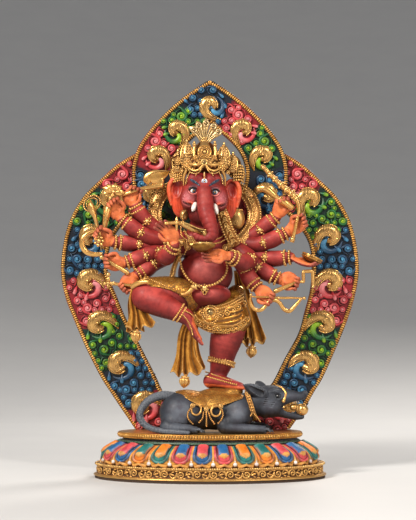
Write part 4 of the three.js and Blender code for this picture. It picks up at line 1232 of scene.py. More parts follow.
def build_rat_head():
    """The raised head with open jaws, a turned-up snout and two cupped ears."""
    clay = Clay((27, -38, 46), (88, 10, 90), FINE_VOXEL)
    clay.tube([(36, -14, 62), (47, -14, 67), (58, -14, 69), (68, -14, 68.6), (76, -14, 69), (80, -14, 70.8)],
              (10.5, 11.4, 9.4, 6.4, 4.4, 2.8), 2)
    clay.ball((52, -19.5, 63), (9, 6.5, 8.5), 3)
    clay.ball((52, -8.5, 63), (9, 6.5, 8.5), 3)
    clay.tube([(48, -14, 60), (58, -14, 57.5), (66, -14, 54.5), (73, -14, 52.4), (78, -14, 52.2)],
        (9, 5.6, 4, 3, 2.2), 2.5, flat=((0, 1, 0), 1.15))
    clay.ball((76, -14, 61), (15.5, 9, 5.2), 1.2, turn=(0, -8, 0), cut=True)
    clay.tube([(56, -22.4, 61.6), (62, -20.6, 61), (68, -18.6, 61.4)], 0.8, 1, cut=True)
    clay.ball((81, -14, 72.2), (2.4, 2.6, 2.2), 1.2)
    for side in (-1, 1):
        clay.tube([(51, -14 + side * 8.6, 73.6), (56, -14 + side * 8.4, 74),
            (61, -14 + side * 6.4, 72.2)], (1.4, 1.9, 1.1), 1.6)
        clay.ball((57.2, -14 + side * 8.8, 69.8), (3.0, 2.0, 2.1), 0.6, cut=True)
        clay.ball((57.2, -14 + side * 8.3, 69.8), (2.6, 1.7, 1.9), 0.3)
        clay.tube([(54, -14 + side * 10, 67.6), (57.4, -14 + side * 9.9, 67),
            (60.4, -14 + side * 8.2, 68.4)], 0.7, 0.8)
    for x, y, z, tip, wide in ((44, -23.5, 71.5, (-15.5, -3, 8.0), 5.8), (46, -4, 75, (-6, 3, 6.0), 4.6)):
        root = np.array((x, y, z), float)
        clay.tube([root, root + np.array(tip) * 0.5, root + tip], (wide * 0.9, wide * 0.92, 0.9), 1.6,
                  flat=((0.25, 1 if y < -14 else -1, 0.35), 0.42))
        hollow = root + np.array(tip) * 0.12 + (0.6, -2.4 if y < -14 else 2.4, 0)
        clay.tube([hollow, hollow + np.array(tip) * 0.66], (wide * 0.5, wide * 0.3), 0.8, cut=True,
                  flat=((0, 1, 0), 0.7))
    for row in range(6):
        z = 60.5 + row * 1.6
        clay.tube([(44 + row * 0.6, -25.2, z), (48 + row, -26.4, z + 0.5),
            (52 + row * 1.2, -25.4, z + 1.2)], 0.35, 0.5, cut=True)
    # Painted highlights: the pale patches on the cheek, the snout and the top of the head.
    tint = painted(RAT, ((51, -27, 61), (9, 8, 8), RAT_HIGHLIGHT, 0.5),
        ((66, -20, 70), (10, 9, 4), RAT_HIGHLIGHT, 0.4), ((57, -24, 70), (3.6, 5, 3), BLACK, 0.95),
        ((35, -27, 79), (6, 5, 4), RAT_HIGHLIGHT, 0.25), ((68, -14, 60), (9, 8, 3.6), srgb(120, 40, 36), 0.8),
        ((82, -14, 72), (2.5, 3, 2.5), BLACK, 0.8), ((42, -28, 73), (6, 3, 4), BLACK, 0.7))
    clay.piece("rat_head_visual", tint, RAT_PAINT, node="rat_head")
    extras = Kit()
    for side in (-1, 1):
        extras.beads((57.3, -14 + side * 9.2, 69.8), (1.5, 1.1, 1.5), BLACK, sides=14, rings=9)
        # A white dot on each eye: a painted highlight.
        extras.beads((56.9, -14 + side * 10.15, 70.4), 0.32, WHITE)
        for tooth in range(3):
            extras.tube([(71.5 + tooth * 1.9, -14 + side * (1.4 + tooth * 0.1), 65.2),
                         (71.6 + tooth * 1.9, -14 + side * 1.5, 63.6)], (0.6, 0.2), IVORY, sides=6)
    extras.piece("rat_eyes", IVORY_PAINT)


def build_rat_tail():
    """The tail, which lies round the haunch."""
    kit = Kit()
    path = smooth_path([(-32, -12, 69, 4.4), (-41, -13, 70, 3.9), (-51, -15, 66.5, 3.5),
        (-58, -18, 59, 3.2), (-59, -22, 51.5, 3.0), (-53, -28, 45, 2.7), (-42, -35, 42, 2.4),
        (-28, -41, 41.2, 2.0), (-18, -44.5, 41.0, 1.5)], 110)
    ribbed = path[:, 3] * (1 + 0.03 * np.cos(np.arange(110) * 1.9))
    shade = 0.5 + 0.5 * np.sin(np.linspace(0, 9, 110))
    kit.tube(path[:, :3], ribbed, RAT, raw=True, sides=18)
    kit.tints[-1] = np.vstack([np.repeat(mixed(RAT, RAT_LIGHT, np.pad(shade * 0.5, 2, "edge")), 18,
        axis=0), [RAT, RAT]])
    kit.piece("rat_tail_visual", RAT_PAINT, 5, node="rat_tail")


def build_saddle():
    """The gilded cloth over the rat's back, its rings and tassels, and the collar, bridle and jewel."""
    clay = Clay((-40, -42, 54), (36, 14, 80))
    clay.ball((-20, -14, 56), (24.2, 20.2, 19.2), 3)
    clay.ball((6, -14, 57), (27.2, 18.4, 17.4), 5)
    clay.ball((24, -18, 56), (13.8, 16, 15.8), 4)
    clay.ball((10, -10, 72.6), (17, 10, 4.2), 3)
    clay.ball((20, -15, 73.6), (8, 6, 3.4), 2)
    x = clay.low[0] + np.arange(clay.size[0]) * clay.voxel
    z = clay.low[2] + np.arange(clay.size[2]) * clay.voxel
    hem = np.interp(x, [-36, -33, -26, -16, -8, -2, 6, 14, 22, 27, 30.5],
        [79, 74.2, 72, 66, 61.5, 59.2, 61, 63.5, 66.5, 68, 72])
    shape = (hem[:, None, None] - z[None, None, :]) * 0.8
    clay.field = np.maximum(clay.field, shape.astype(np.float32))
    inner = Clay((-40, -42, 54), (36, 14, 80))
    inner.ball((-20, -14, 56), (22.9, 18.9, 17.9), 3)
    inner.ball((6, -14, 57), (25.9, 15.9, 15.9), 5)
    inner.ball((24, -18, 56), (12.9, 14.9, 14.9), 4)
    clay.field = np.maximum(clay.field, -inner.field)
    clay.piece("saddle_visual", painted(srgb(214, 158, 72)),
        gilding("saddle_gilding", 0.3, 0.8, chased=700.0), relief=4, node="saddle_cloth")
    kit = Kit()
    for x, z in ((-11.5, 59), (5.0, 58)):
        kit.ring((x, -32.6, z), (0.1, -1, 0.25), (4.0, 4.4), 0.85, GOLD)
    for x, z in ((-14.5, 62.6), (9.0, 62.0), (-3.2, 59.6)):
        kit.ring((x, -33.6, z), (0, -1, 0.2), 1.4, 0.7, GOLD_PALE)
        kit.beads((x, -34.2, z), 1.2, GOLD)
    for path in ([(-16, -33.4, 61), (-18.6, -34.2, 56), (-18.0, -34.6, 51.5), (-14.5, -34.4, 47.5)],
                 [(-5.4, -33.2, 57), (-6.4, -33.6, 52), (-9.0, -33.6, 48.6)],
                 [(-3.2, -33.2, 58.5), (-3.0, -33.8, 51), (-3.0, -33.8, 45.6)],
                 [(-1.2, -33.2, 57), (0.4, -33.6, 52), (3.6, -33.6, 47.6)],
                 [(9.6, -33.2, 60.8), (10.8, -34.0, 55), (9.4, -34.4, 51), (7.0, -34.4, 47.8)]):
        kit.bead_string(path, 0.85, AMBER)
    kit.piece("saddle_tassels", GILT, 3)

    kit = Kit()
    collar = [(34.4, -27.6, 63), (31.6, -22, 71.6), (32.4, -10, 74), (33.8, -1.5, 66), (36.6, -2, 56),
        (39, -10, 50.5), (38.6, -20, 51.5), (36, -26.6, 57)]
    for shift, size in ((0, 1.35), (1.6, 0.7), (-1.6, 0.7)):
        kit.bead_string(np.array(collar) + (shift, -0.5, 0), size, AMBER, closed=True)
    kit.bead_string([(36.5, -27.4, 56), (40, -27.8, 52), (42, -27.0, 49)], 0.8, AMBER)
    kit.bead_string([(36, -27.4, 57), (34, -28.6, 53.6)], 0.8, AMBER)
    kit.piece("rat_collar_visual", GILT, 3, node="rat_collar")
    kit = Kit()
    for side in (-1, 1):
        strap = [(56.0, -14 + side * 1.0, 78.6), (61.0, -14 + side * 4.6, 76.6),
            (64.0, -14 + side * 7.0, 72.8), (63.2, -14 + side * 7.8, 68.4), (62.2, -14 + side * 8.6, 65.6)]
        kit.tube(strap, (0.9, 1.0, 1.1, 1.1, 1.3), srgb(222, 160, 60), side=(0.3, side, 0.4), thin=0.8)
        kit.beads((62.0, -14 + side * 9.0, 65.8), 1.5, GOLD)
    kit.piece("rat_bridle", GILT, 3)
    kit = Kit()
    kit.beads([(78.6, -15, 58.2), (71.4, -14.6, 60.2)], [(5.0, 5.0, 5.0), (3.8, 3.2, 2.9)],
        srgb(216, 160, 84), sides=24, rings=16)
    kit.ring((74.2, -15, 59.4), (1, 0, -0.2), 2.9, 0.6, GOLD_PALE)
    for angle in round_angles(6):
        start = np.array((74.0, -15, 59.4))
        kit.tube([start + (0, 2.4 * math.cos(angle), 2.4 * math.sin(angle)),
            start + (2.2, 4.6 * math.cos(angle), 4.6 * math.sin(angle) - 0.6),
            start + (4.4, 5.0 * math.cos(angle), 5.0 * math.sin(angle) - 1.0)], (0.3, 0.4, 0.1), GOLD_PALE,
            sides=6)
    kit.piece("jewel_visual", SMOOTH_GILT, 3, node="wish_jewel")


build_rat_body()
build_rat_head()
build_rat_tail()
build_saddle()


# ---------------------------------------------------------------- legs, torso and cloths

def bangle(kit, centre, normal, radii, size, rows=2):
    """Rows of beads round a limb, with a plain band between them."""
    normal = unit(normal)
    centre = np.asarray(centre, float)
    for row in range(rows):
        shift = (row - (rows - 1) / 2) * size * 2.5
        kit.ring(centre + normal * shift, normal, radii, size, GOLD, beads=size * 1.1)
    if rows > 1:
        kit.ring(centre, normal, np.asarray(radii, float) - size * 0.35, size * 0.8, GOLD * 0.8)


def build_standing_leg():
    """The leg that stands on the saddle, with its anklet and two strings over the foot."""
    clay = Clay((-10, -32, 72), (40, 20, 156))
    clay.tube([(15, -3, 143), (17.2, -6, 137), (17, -8, 130), (14.4, -9, 120), (11.4, -7, 108.6),
        (9.8, -5, 98), (8, -4, 91), (6.4, -4, 83.6)], (13, 14.2, 14.6, 14, 12, 9.8, 8, 6.6), 2)
    clay.ball((18, -17, 127), (9, 6, 8), 4)
    # The foot points to the viewer's right on the saddle, heel to the left.
    clay.ball((0.8, -5, 82), (6.2, 6.2, 6.2), 2.5)
    clay.tube([(1, -6, 82), (9, -10, 81.6), (18, -13.6, 79.4), (25, -16, 77.6)], (6.2, 6.6, 5.6, 4.6), 2.5,
              flat=((0, 0, 1), 0.84))
    for toe in range(5):
        start = np.array((24.6 - 1.1 * toe, -19.2 + 2.2 * toe, 77.6))
        clay.tube([start, start + (3.6, -1.0, -0.3), start + (5.6, -1.5, -1.0)],
                  np.array([1.7, 1.5, 1.25]) * (1.3 if toe == 0 else 1), 0.35)
    # Painted light: the pale patches on the thigh and shin are painted highlights, and the dark ones down the
    # calf's far side and above the ankle are painted shade.
    tint_leg = painted(SKIN, ((12, -22, 122), (11, 11, 17), SKIN_HIGHLIGHT, 0.7),
        ((6, -14, 106), (6, 8, 12), SKIN_HIGHLIGHT, 0.45), ((24, -8, 112), (6, 12, 30), SKIN_SHADE, 0.5),
        ((6, -12, 91), (8, 9, 5), SKIN_SHADE, 0.5))

    def tint(points, normals):
        colour = tint_leg(points, normals)
        sole = points[:, 2] < 79.8 - 0.07 * points[:, 0]
        return np.where(sole[:, None], SOLE, colour)

    clay.piece("standing_leg_visual", tint, SKIN_PAINT, node="standing_leg")
    kit = Kit()
    bangle(kit, (9.8, -5, 98.4), (0.24, 0.1, 1), 11.2, 1.15)
    for lift, reach, size in ((0.0, 1.0, 0.9), (3.4, 0.84, 0.75)):
        path = []
        for share in np.linspace(0, 1, 9):
            x = -3.8 + 26 * share * reach
            z = 86.4 + lift - 7.0 * share
            path.append((x, front_of(clay, x, z) - 0.3, z))
        kit.bead_string(path, size)
    kit.piece("standing_leg_beads", GILT, 2)


def build_raised_leg():
    """The bent leg, with its foot hanging in front."""
    clay = Clay((-70, -50, 108), (4, 2, 172))
    clay.tube([(-14, -10, 152), (-34, -18, 156), (-52, -25, 155)], (14, 13.4, 11.6), 2)
    clay.ball((-55, -26, 155), (11.4, 11, 12), 3)
    clay.tube([(-54, -28, 152), (-42, -32, 147), (-30, -35, 142), (-21, -38, 137.5)],
        (11.2, 10.4, 8.6, 6.6), 3)
    clay.ball((-19.5, -38.5, 136), (6.2, 5.8, 6.0), 2)
    # The foot hangs down to the viewer's right, with its orange sole turned that way.
    clay.tube([(-19.5, -38.5, 136), (-15.6, -39, 129), (-12, -39.4, 122), (-9.6, -39.8, 118.6)],
        (6.0, 5.4, 4.6, 3.8), 2, flat=((1, 0, 0.55), 0.7))
    for toe in range(5):
        start = np.array((-9.4, -42.4 + 1.7 * toe, 118.4 - 0.1 * toe))
        clay.tube([start, start + (1.6, 0.0, -3.0), start + (2.8, 0.1, -4.4)],
                  np.array([1.4, 1.3, 1.05]) * (1.25 if toe == 0 else 1), 0.35)
    # Painted light: the pale patches on the knee, the shin and the foot are painted highlights, and the dark
    # one under the shin is painted shade.
    tint_leg = painted(SKIN, ((-48, -40, 158), (17, 13, 9), SKIN_HIGHLIGHT, 0.75),
        ((-30, -46, 146), (12, 9, 7), SKIN_HIGHLIGHT, 0.45), ((-40, -30, 138), (24, 12, 6), SKIN_SHADE, 0.6),
        ((-17, -42, 130), (3, 5, 9), SKIN_HIGHLIGHT, 0.4))

    def tint(points, normals):
        colour = tint_leg(points, normals)
        foot = points[:, 2] < 139 - 0.9 * (points[:, 0] + 16)
        sole = foot & (normals @ unit((1, 0.05, 0.5)) > 0.45) & (points[:, 0] > -15)
        return np.where(sole[:, None], SOLE, colour)

    clay.piece("raised_leg_visual", tint, SKIN_PAINT, node="raised_leg")
    kit = Kit()
    for share in (0.0, 1.0):
        centre = np.array((-26.5, -36.4, 140.5)) + np.array((2.6, -1.0, -1.9)) * share
        bangle(kit, centre, (1, 0.1, -0.66), 8.0 - share, 0.95, rows=1)
    kit.bead_string([(-22, -44.8, 137.6), (-18.4, -45.6, 133), (-15.8, -45.4, 127),
        (-14.4, -44.6, 121.6)], 0.7)
    kit.bead_string([(-21, -44.4, 141.6), (-16.4, -44.4, 139.4), (-13.6, -43, 136.8)], 0.7)
    kit.piece("raised_leg_beads", GILT, 2)


def build_torso():
    """The round belly with its rolls, the chest and the shoulders that the arms fan out from."""
    clay = Clay((-54, -32, 142), (50, 16, 220))
    clay.ball((-3, -4, 199), (26, 13.5, 15), 3)
    clay.ball((-34, -1, 200), (15, 9.5, 15), 4, turn=(0, 20, 0))
    clay.ball((30, -1, 196), (13.5, 9.5, 16), 4, turn=(0, -20, 0))
    clay.ball((-12, -12, 203), (11, 7, 9), 3)
    clay.ball((8, -12, 202), (11, 7, 9), 3)
    clay.ball((-4, -7, 174), (23.6, 21.4, 21), 2.5)
    clay.ball((-2.4, -12.6, 155.8), (20.4, 20, 11.6), 1.0)
    clay.tube([(-20, -20.5, 194.6), (-12, -25, 193.4), (-2, -27, 193.2), (8, -25.6, 193.4),
        (16, -20, 194.6)], 0.9, 1.6, cut=True)
    clay.tube([(-22, -26, 162), (-14, -30, 160), (-2, -32, 160.6), (10, -31, 164), (19, -24, 170)], 0.8,
        1.6, cut=True)
    # Painted light: the pale patches on the belly and chest are painted highlights, and the dark ones at the
    # belly's sides, in the crease under the chest and at the shoulders are painted shade.
    tint = painted(SKIN, ((-3, -28, 177), (15, 10, 13), srgb(200, 100, 92), 0.8),
        ((0, -32, 157), (13, 9, 6), srgb(190, 88, 80), 0.6), ((-12, -20, 204), (9, 7, 7), SKIN_HIGHLIGHT, 0.3),
        ((9, -20, 203), (8, 7, 7), SKIN_HIGHLIGHT, 0.25), ((-22, -20, 168), (7, 12, 14), SKIN_SHADE, 0.5),
        ((18, -18, 178), (6, 12, 16), SKIN_SHADE, 0.5), ((-4, -20, 194), (26, 10, 3.5), SKIN_SHADE, 0.6),
        ((-38, -10, 200), (12, 8, 16), SKIN_SHADE, 0.35), ((33, -10, 197), (10, 8, 16), SKIN_SHADE, 0.35))
    clay.piece("torso_visual", tint, SKIN_PAINT, node="torso")


def build_body_jewels():
    """Necklace, belly beads, serpent thread and chest ornaments."""
    kit = Kit()
    loop = [(-25.5, -21, 197), (-25.6, -25, 187), (-22.6, -28.6, 175), (-15, -31.6, 165.6),
        (-5, -33, 162.4), (5, -32.2, 164.8), (12, -29.6, 171), (14.6, -26.6, 179), (12.6, -25.4, 188),
        (13, -22, 196)]
    kit.bead_string(loop, 1.25, srgb(214, 160, 70))
    kit.stud((-4.6, -33.8, 160.6), (2.2, 1.4, 2.6))
    for turn in round_angles(7):
        kit.beads((-4.6 + 2.9 * math.sin(turn), -33.4, 160.6 + 3.2 * math.cos(turn)), 0.75)
    kit.bead_string([(-7, -33, 158.6), (-4.6, -33.2, 155.4), (-2, -33, 158.4)], 0.6)
    kit.piece("belly_beads_visual", GILT, 2, node="belly_beads")

    kit = Kit()
    thread = [(-26, -17, 190), (-30, -18.5, 181), (-32, -20, 172), (-31.4, -22, 164),
        (-28.4, -25.4, 157.6), (-23, -29, 155.4), (-18.4, -31.4, 157), (-15, -32.6, 160.4)]
    line = smooth_path(np.column_stack([thread, [1.4, 1.5, 1.6, 1.7, 1.8, 1.9, 2.0, 1.7]]), 90)
    kit.tube(line[:, :3], line[:, 3] * (1 + 0.1 * np.cos(np.arange(90) * 2.1)), GOLD, raw=True, sides=10)
    for shift in (-2.1, 2.1):
        kit.bead_string(np.array(thread) + (shift, -0.2, shift * 0.3), 0.6, GOLD_PALE)
    kit.beads((-13.4, -33.6, 162.0), (3.0, 2.0, 2.2), GOLD_PALE, sides=14, rings=9)
    kit.tube([(-12.0, -34.2, 163.0), (-9.8, -34.6, 162.6), (-8.4, -34.4, 161.0)], (1.1, 0.9, 0.3), GOLD_PALE)
    kit.tube([(-12.4, -34.2, 161.0), (-10.6, -34.6, 159.8)], (0.9, 0.3), GOLD_PALE)
    for x in (-14.4, -12.6):
        kit.beads((x, -35.4, 163.2), 0.4, BLACK)
    kit.piece("serpent_visual", GILT, 2, node="serpent_thread")

    kit = Kit()
    for side in (-1, 1):
        kit.bead_string(sided(-4, side, [(21, -14, 214), (20, -19.6, 206), (13, -23.4, 200.4),
            (5, -26, 198.4), (0, -26.6, 197.6)]), 0.85)
        kit.bead_string(sided(-4, side, [(18, -17.4, 211), (14, -21.4, 205), (7, -24.4, 202)]), 0.7)
    for x, z in ((-24, 200), (-19, 196.4), (18, 199), (13.4, 195.6)):
        kit.beads((x, -22.6, z), (1.9, 1.4, 1.9), GOLD_PALE)
        kit.ring((x, -23.0, z), FRONT, 2.6, 0.5, GOLD, beads=0.5)
    kit.piece("chest_beads", GILT, 2)


def cloth(kit, path, widths, side, thickness, folds, depth, hem, tint=GOLD):
    """A strip hung along a path. Its folds grow to their full depth at the hem, which is wavy."""
    rows, across = 44, 61
    path = np.asarray(path, float)
    deep = np.linspace(0.2, 1, len(path)) * depth
    line = smooth_path(np.column_stack([path, widths, deep]), rows)
    along = np.gradient(line[:, :3], axis=0)
    along /= np.linalg.norm(along, axis=1)[:, None]
    side = unit(side)
    cross = side - along * (along @ side)[:, None]
    cross /= np.linalg.norm(cross, axis=1)[:, None]
    normal = np.cross(cross, along)
    normal *= np.where(normal[:, 1] > 0, -1, 1)[:, None]
    place = np.linspace(-1, 1, across)
    phase = folds * math.pi * (place + 0.11 * np.sin(4.1 * place + 1.0))
    wave = np.abs(np.sin(phase)) * 2 - 1
    ends = np.clip((1 - np.abs(place)) * 8, 0, 1)
    front = (line[:, None, :3] + cross[:, None] * (place[None, :, None] * line[:, None, 3:4])
             + normal[:, None] * ((wave * line[:, 4:5])[..., None] + thickness / 2))
    drop = hem * (np.linspace(0, 1, rows) ** 3)[:, None] * (np.cos(phase * 2)[None, :] * 0.5 - 0.5
        * place[None, :] ** 2)
    front = front + along[:, None] * drop[..., None]
    back = front - normal[:, None] * (thickness * (0.4 + 0.6 * ends))[None, :, None]
    index = np.arange(rows * across).reshape(rows, across)
    quads = np.stack([index[:-1, :-1], index[1:, :-1], index[1:, 1:], index[:-1, 1:]], -1).reshape(-1, 4)
    total = rows * across
    border = np.concatenate([index[:-1, 0], index[-1, :-1], index[:0:-1, -1], index[0, :0:-1]])
    wall = np.stack([border, border + total, np.roll(border, -1) + total, np.roll(border, -1)], 1)
    turned_over = np.cross(cross[0], along[0]) @ normal[0] > 0
    faces = np.vstack([quads, quads[:, ::-1] + total, wall])
    shade = mixed(tint * 0.55, tint, (wave * 0.5 + 0.5))
    tints = np.tile(np.tile(shade, (rows, 1)), (2, 1))
    kit.add(np.vstack([front.reshape(-1, 3), back.reshape(-1, 3)]),
        [faces if not turned_over else faces[:, ::-1]], tints)


def tassel(kit, top, drop, size):
    """A round-bodied tassel with chased lines."""
    top, drop = np.asarray(top, float), np.asarray(drop, float)
    kit.tube([top, top + drop * 0.35, top + drop * 0.75, top + drop],
        np.array([0.45, 1.0, 0.85, 0.25]) * size, GOLD, sides=14, samples=18)
    kit.ring(top + drop * 0.1, drop, size * 0.75, size * 0.2, GOLD_PALE)
    first = unit(np.cross(drop, (0.2, 1, 0.1)))
    second = unit(np.cross(drop, first))
    for angle in round_angles(8):
        out = (first * math.cos(angle) + second * math.sin(angle)) * size
        kit.tube([top + drop * 0.3 + out * 0.98, top + drop * 0.6 + out * 0.98,
            top + drop * 0.95 + out * 0.42], (0.15 * size, 0.2 * size, 0.1 * size), GOLD_PALE, sides=5)


def build_sashes():
    """The sashes at the knee, in the middle and at the side: two strips of cloth each, over a tassel."""
    kit = Kit()
    cloth(kit, [(-62, -27, 163), (-62.5, -28, 152), (-60, -29, 139), (-58, -29, 127)],
        [3.6, 5.6, 7.6, 13], (1, 0, 0), 1.8, 1.6, 1.7, hem=3.4)
    cloth(kit, [(-64, -24, 160), (-65, -25, 148), (-63.5, -26, 136), (-63, -26, 124)], [3, 4.6, 5.6, 8],
        (1, 0, 0.1), 1.6, 1.2, 1.4, hem=2.0)
    tassel(kit, (-61.5, -30, 125), (-1.5, 0, -9.5), 3.8)
    kit.tube([(-66, -29, 162), (-60, -35, 165), (-52, -38, 166)], (2.4, 2.2, 1.4), GOLD, thin=0.6)
    kit.piece("knee_sash_visual", CLOTH_GILT, 5, node="knee_sash")
    kit = Kit()
    cloth(kit, [(-17, -13, 134), (-20.5, -13, 120), (-20.8, -13, 103), (-19.6, -13, 87.5)],
        [5.2, 6.8, 8.4, 14.4], (1, 0, 0), 1.9, 1.7, 1.8, hem=4.4)
    cloth(kit, [(-14, -10, 132), (-15, -10, 118), (-13, -10, 104), (-9.6, -10, 91)], [4.0, 4.6, 5.0, 6.4],
        (1, 0, 0.2), 1.6, 1.5, 1.2, hem=2.0)
    tassel(kit, (-21, -14.6, 86.6), (-1.4, 0, -9.4), 4.0)
    kit.piece("centre_sash_visual", CLOTH_GILT, 5, node="centre_sash")
    kit = Kit()
    cloth(kit, [(24, 3, 178), (28.4, 4, 158), (34, 4, 136), (38, 4, 113)], [3.4, 6.0, 7.6, 11.6],
        (1, 0, 0.2), 1.8, 1.6, 1.7, tint=GOLD * 0.85, hem=4.0)
    cloth(kit, [(28, 0, 150), (30, 0, 138), (31, 0, 127), (31, 0, 118)], [3.4, 4.4, 5, 6.4], (1, 0, 0.2),
        1.6, 1.5, 1.4, tint=GOLD * 0.7, hem=2.0)
    tassel(kit, (36.4, 2, 112), (-1.0, 0, -9.6), 4.0)
    kit.piece("side_sash_visual", CLOTH_GILT, 5, node="side_sash")


def build_hip_cloth():
    """The wrapped cloth with a scrolled hem, a waistband and a clasp of rings in front."""
    clay = Clay((-24, -38, 112), (40, 20, 172))
    clay.ball((10, -6, 141), (24, 19.4, 14.6), 2)
    clay.tube([(-6, -13, 137), (6, -18, 131), (20, -15.5, 130), (27, -9.4, 134)], (9.6, 9.4, 9.4, 8.4), 4)
    clay.tube([(19, -6, 148), (23, -3, 157)], (13, 8), 4)
    for drop in range(6):
        z = 147 - drop * 4.0
        fold = [(x, front_of(clay, x, z - fall) - 0.3, z - fall)
                for x, fall in ((29 - drop, 0.4), (24, 2.4), (16, 4.6), (8, 5.8), (2, 6.4))]
        clay.tube(fold, 0.85, 1.0, cut=True)
    clay.piece("hip_cloth_visual", painted(srgb(206, 148, 62)), SMOOTH_GILT, relief=6, node="hip_cloth")
    kit = Kit()

    def draped(flat, proud=0.3):
        return [(x, front_of(clay, x, z) - proud, z) for x, z in flat]
    hem = smooth_path([(-13, 133), (-9, 128.6), (-2, 125), (8, 123.6), (18, 123.4), (26, 126.6),
        (32, 132)], 60)
    kit.bead_string(draped(hem[::3]), 0.85)
    kit.bead_string(draped(hem[::3] + (0, 5.8)), 0.65)
    for spot in draped(evenly(hem, 4.0)[0] + (0, 2.9)):
        kit.ring(spot, (0.1, -1, -0.1), 1.7, 0.55, GOLD)
        kit.beads(spot, 0.7, GOLD_PALE)
    belt = smooth_path([(-12, 148), (-4, 144.4), (6, 143.4), (16, 146.4), (24, 151), (29, 154)], 40)
    for shift, size in ((0.0, 1.05), (2.6, 0.8), (-2.6, 0.8)):
        kit.bead_string(draped(belt[::2] + (0, shift)), size)
    for number, spot in enumerate(draped(evenly(belt, 5.4)[0] + (0, -5.6))):
        spot = np.array(spot)
        kit.ring(spot, (0, -1, 0.1), 2.0, 0.55, GOLD)
        kit.beads(spot, 0.9, GOLD_PALE)
        if number % 2 == 0:
            kit.bead_string([spot + (-1.5, 0, -3), spot + (0, 0, -4.6), spot + (1.5, 0, -3)], 0.5)
    clasp = np.array((0.5, front_of(clay, 0.5, 140.4) - 0.8, 140.4))
    for reach, size in ((6.0, 0.95), (4.1, 0.75)):
        kit.ring(clasp, (0, -1, 0), reach, size, GOLD, beads=size if reach > 5 else 0)
    kit.beads(clasp + (0, -0.3, 0), (2.4, 1.2, 2.4), BLACK, sides=14, rings=9)
    kit.bead_string(draped([(-7, 140), (-5, 134), (0.4, 131.4), (5.6, 134), (7.6, 139)], 0.6), 0.85)
    kit.piece("hip_beads", GILT, 3)


def build_thigh_cloth():
    """The shell of cloth over the raised thigh, with a beaded edge."""
    clay = Clay((-64, -42, 138), (-6, 2, 178))
    clay.tube([(-19, -13, 154), (-34, -18, 157), (-50, -23, 158)], (15.4, 14.6, 12.6), 2)
    clay.tube([(-14, -12, 152), (-34, -20, 153), (-56, -28, 151)], (12.6, 13.2, 13.4), 0.6, cut=True)
    clay.tube([(-54, -30, 150), (-40, -34, 144), (-26, -37, 138)], (12, 11, 9.5), 0.6, cut=True)
    clay.ball((-26, -44, 140), (40, 14, 13), 1, turn=(0, 18, 0), cut=True)
    clay.piece("thigh_cloth_visual", painted(srgb(206, 150, 64)), BROCADE_GILT, relief=5, node="thigh_cloth")
    kit = Kit()
    kit.bead_string([(-59, -24, 168), (-52, -30, 168.6), (-42, -32, 164.6), (-33, -31.4, 160.4),
        (-26, -28, 155)], 0.8)
    for number in range(6):
        share = number / 5
        spot = np.array((-54 + 28 * share, -27.6 + 3 * share, 169.4 - 10 * share))
        kit.ring(spot, (0.1, -1, 0.7), 1.9, 0.5, GOLD)
        kit.beads(spot, 0.7, GOLD_PALE)
    kit.piece("thigh_beads", GILT, 3)


def brocade(kit, path, face, width, pitch=5.4):
    """A broad band with beaded edges and embossed scrolls. It is at its widest from a third of its length."""
    line = smooth_path(path, 90)
    along = np.gradient(line, axis=0)
    along /= np.linalg.norm(along, axis=1)[:, None]
    across = np.cross(along, face)
    across /= np.linalg.norm(across, axis=1)[:, None]
    out = np.cross(across, along)
    out *= np.where(out[:, 1] > 0, -1, 1)[:, None]
    half = width * np.clip(np.linspace(0.7, 1.9, 90), 0, 1)[:, None]
    kit.tube(line, half[:, 0], GOLD_DEEP, side=tuple(face), thin=0.3, raw=True, sides=20)
    for edge in (-1, 1):
        kit.bead_string((line + across * half * edge + out * 0.7)[::5], 1.05, GOLD_EDGE, pitch=2.1)
    spots, _ = evenly(line, pitch)
    reach = width * 0.46
    for number, spot in enumerate(spots[1:-1]):
        at = int(np.argmin(np.linalg.norm(line - spot, axis=1)))
        flat = spiral(1.3, reach, 0.4, number * 1.1, 1 if number % 2 else -1, 12)
        curl = spot + out[at] * 1.6 + flat[:, :1] * across[at] + flat[:, 1:] * along[at]
        kit.tube(curl, np.linspace(0.65, 0.45, 12), GOLD_EDGE, side=tuple(out[at]), sides=5)
        for sign in (-1, 1):
            leaf = spot + out[at] * 1.4 + across[at] * reach * 0.7 * sign + along[at] * pitch / 2
            kit.tube([leaf - along[at], leaf + across[at] * 0.8 * sign + along[at] * 0.6], (0.75, 0.4),
                GOLD_EDGE, sides=5)


def build_scarf(name, path, node, side):
    """One loop of the scarf, from behind an ear to the shoulder."""
    kit = Kit()
    brocade(kit, path, np.array([0.12 * side, -1, 0.12]), 5.4)
    kit.piece(name, GILT, 4, node=node)


build_standing_leg()
build_raised_leg()
build_torso()
build_body_jewels()
build_sashes()
build_hip_cloth()
build_thigh_cloth()
build_scarf("scarf_right_visual", [(-31, 3, 252), (-39, 1, 247), (-45, 0, 239), (-48, -2, 227),
    (-45.6, -6, 215), (-38, -12, 206), (-26, -18, 198)], "scarf_right", -1)
build_scarf("scarf_left_visual", [(24, 3, 251), (31, 1, 245), (36.4, 0, 237), (38.6, -2, 226),
    (35.6, -6, 213), (27.6, -12, 203), (17, -18, 196)], "scarf_left", 1)


# ---------------------------------------------------------------- head and crown

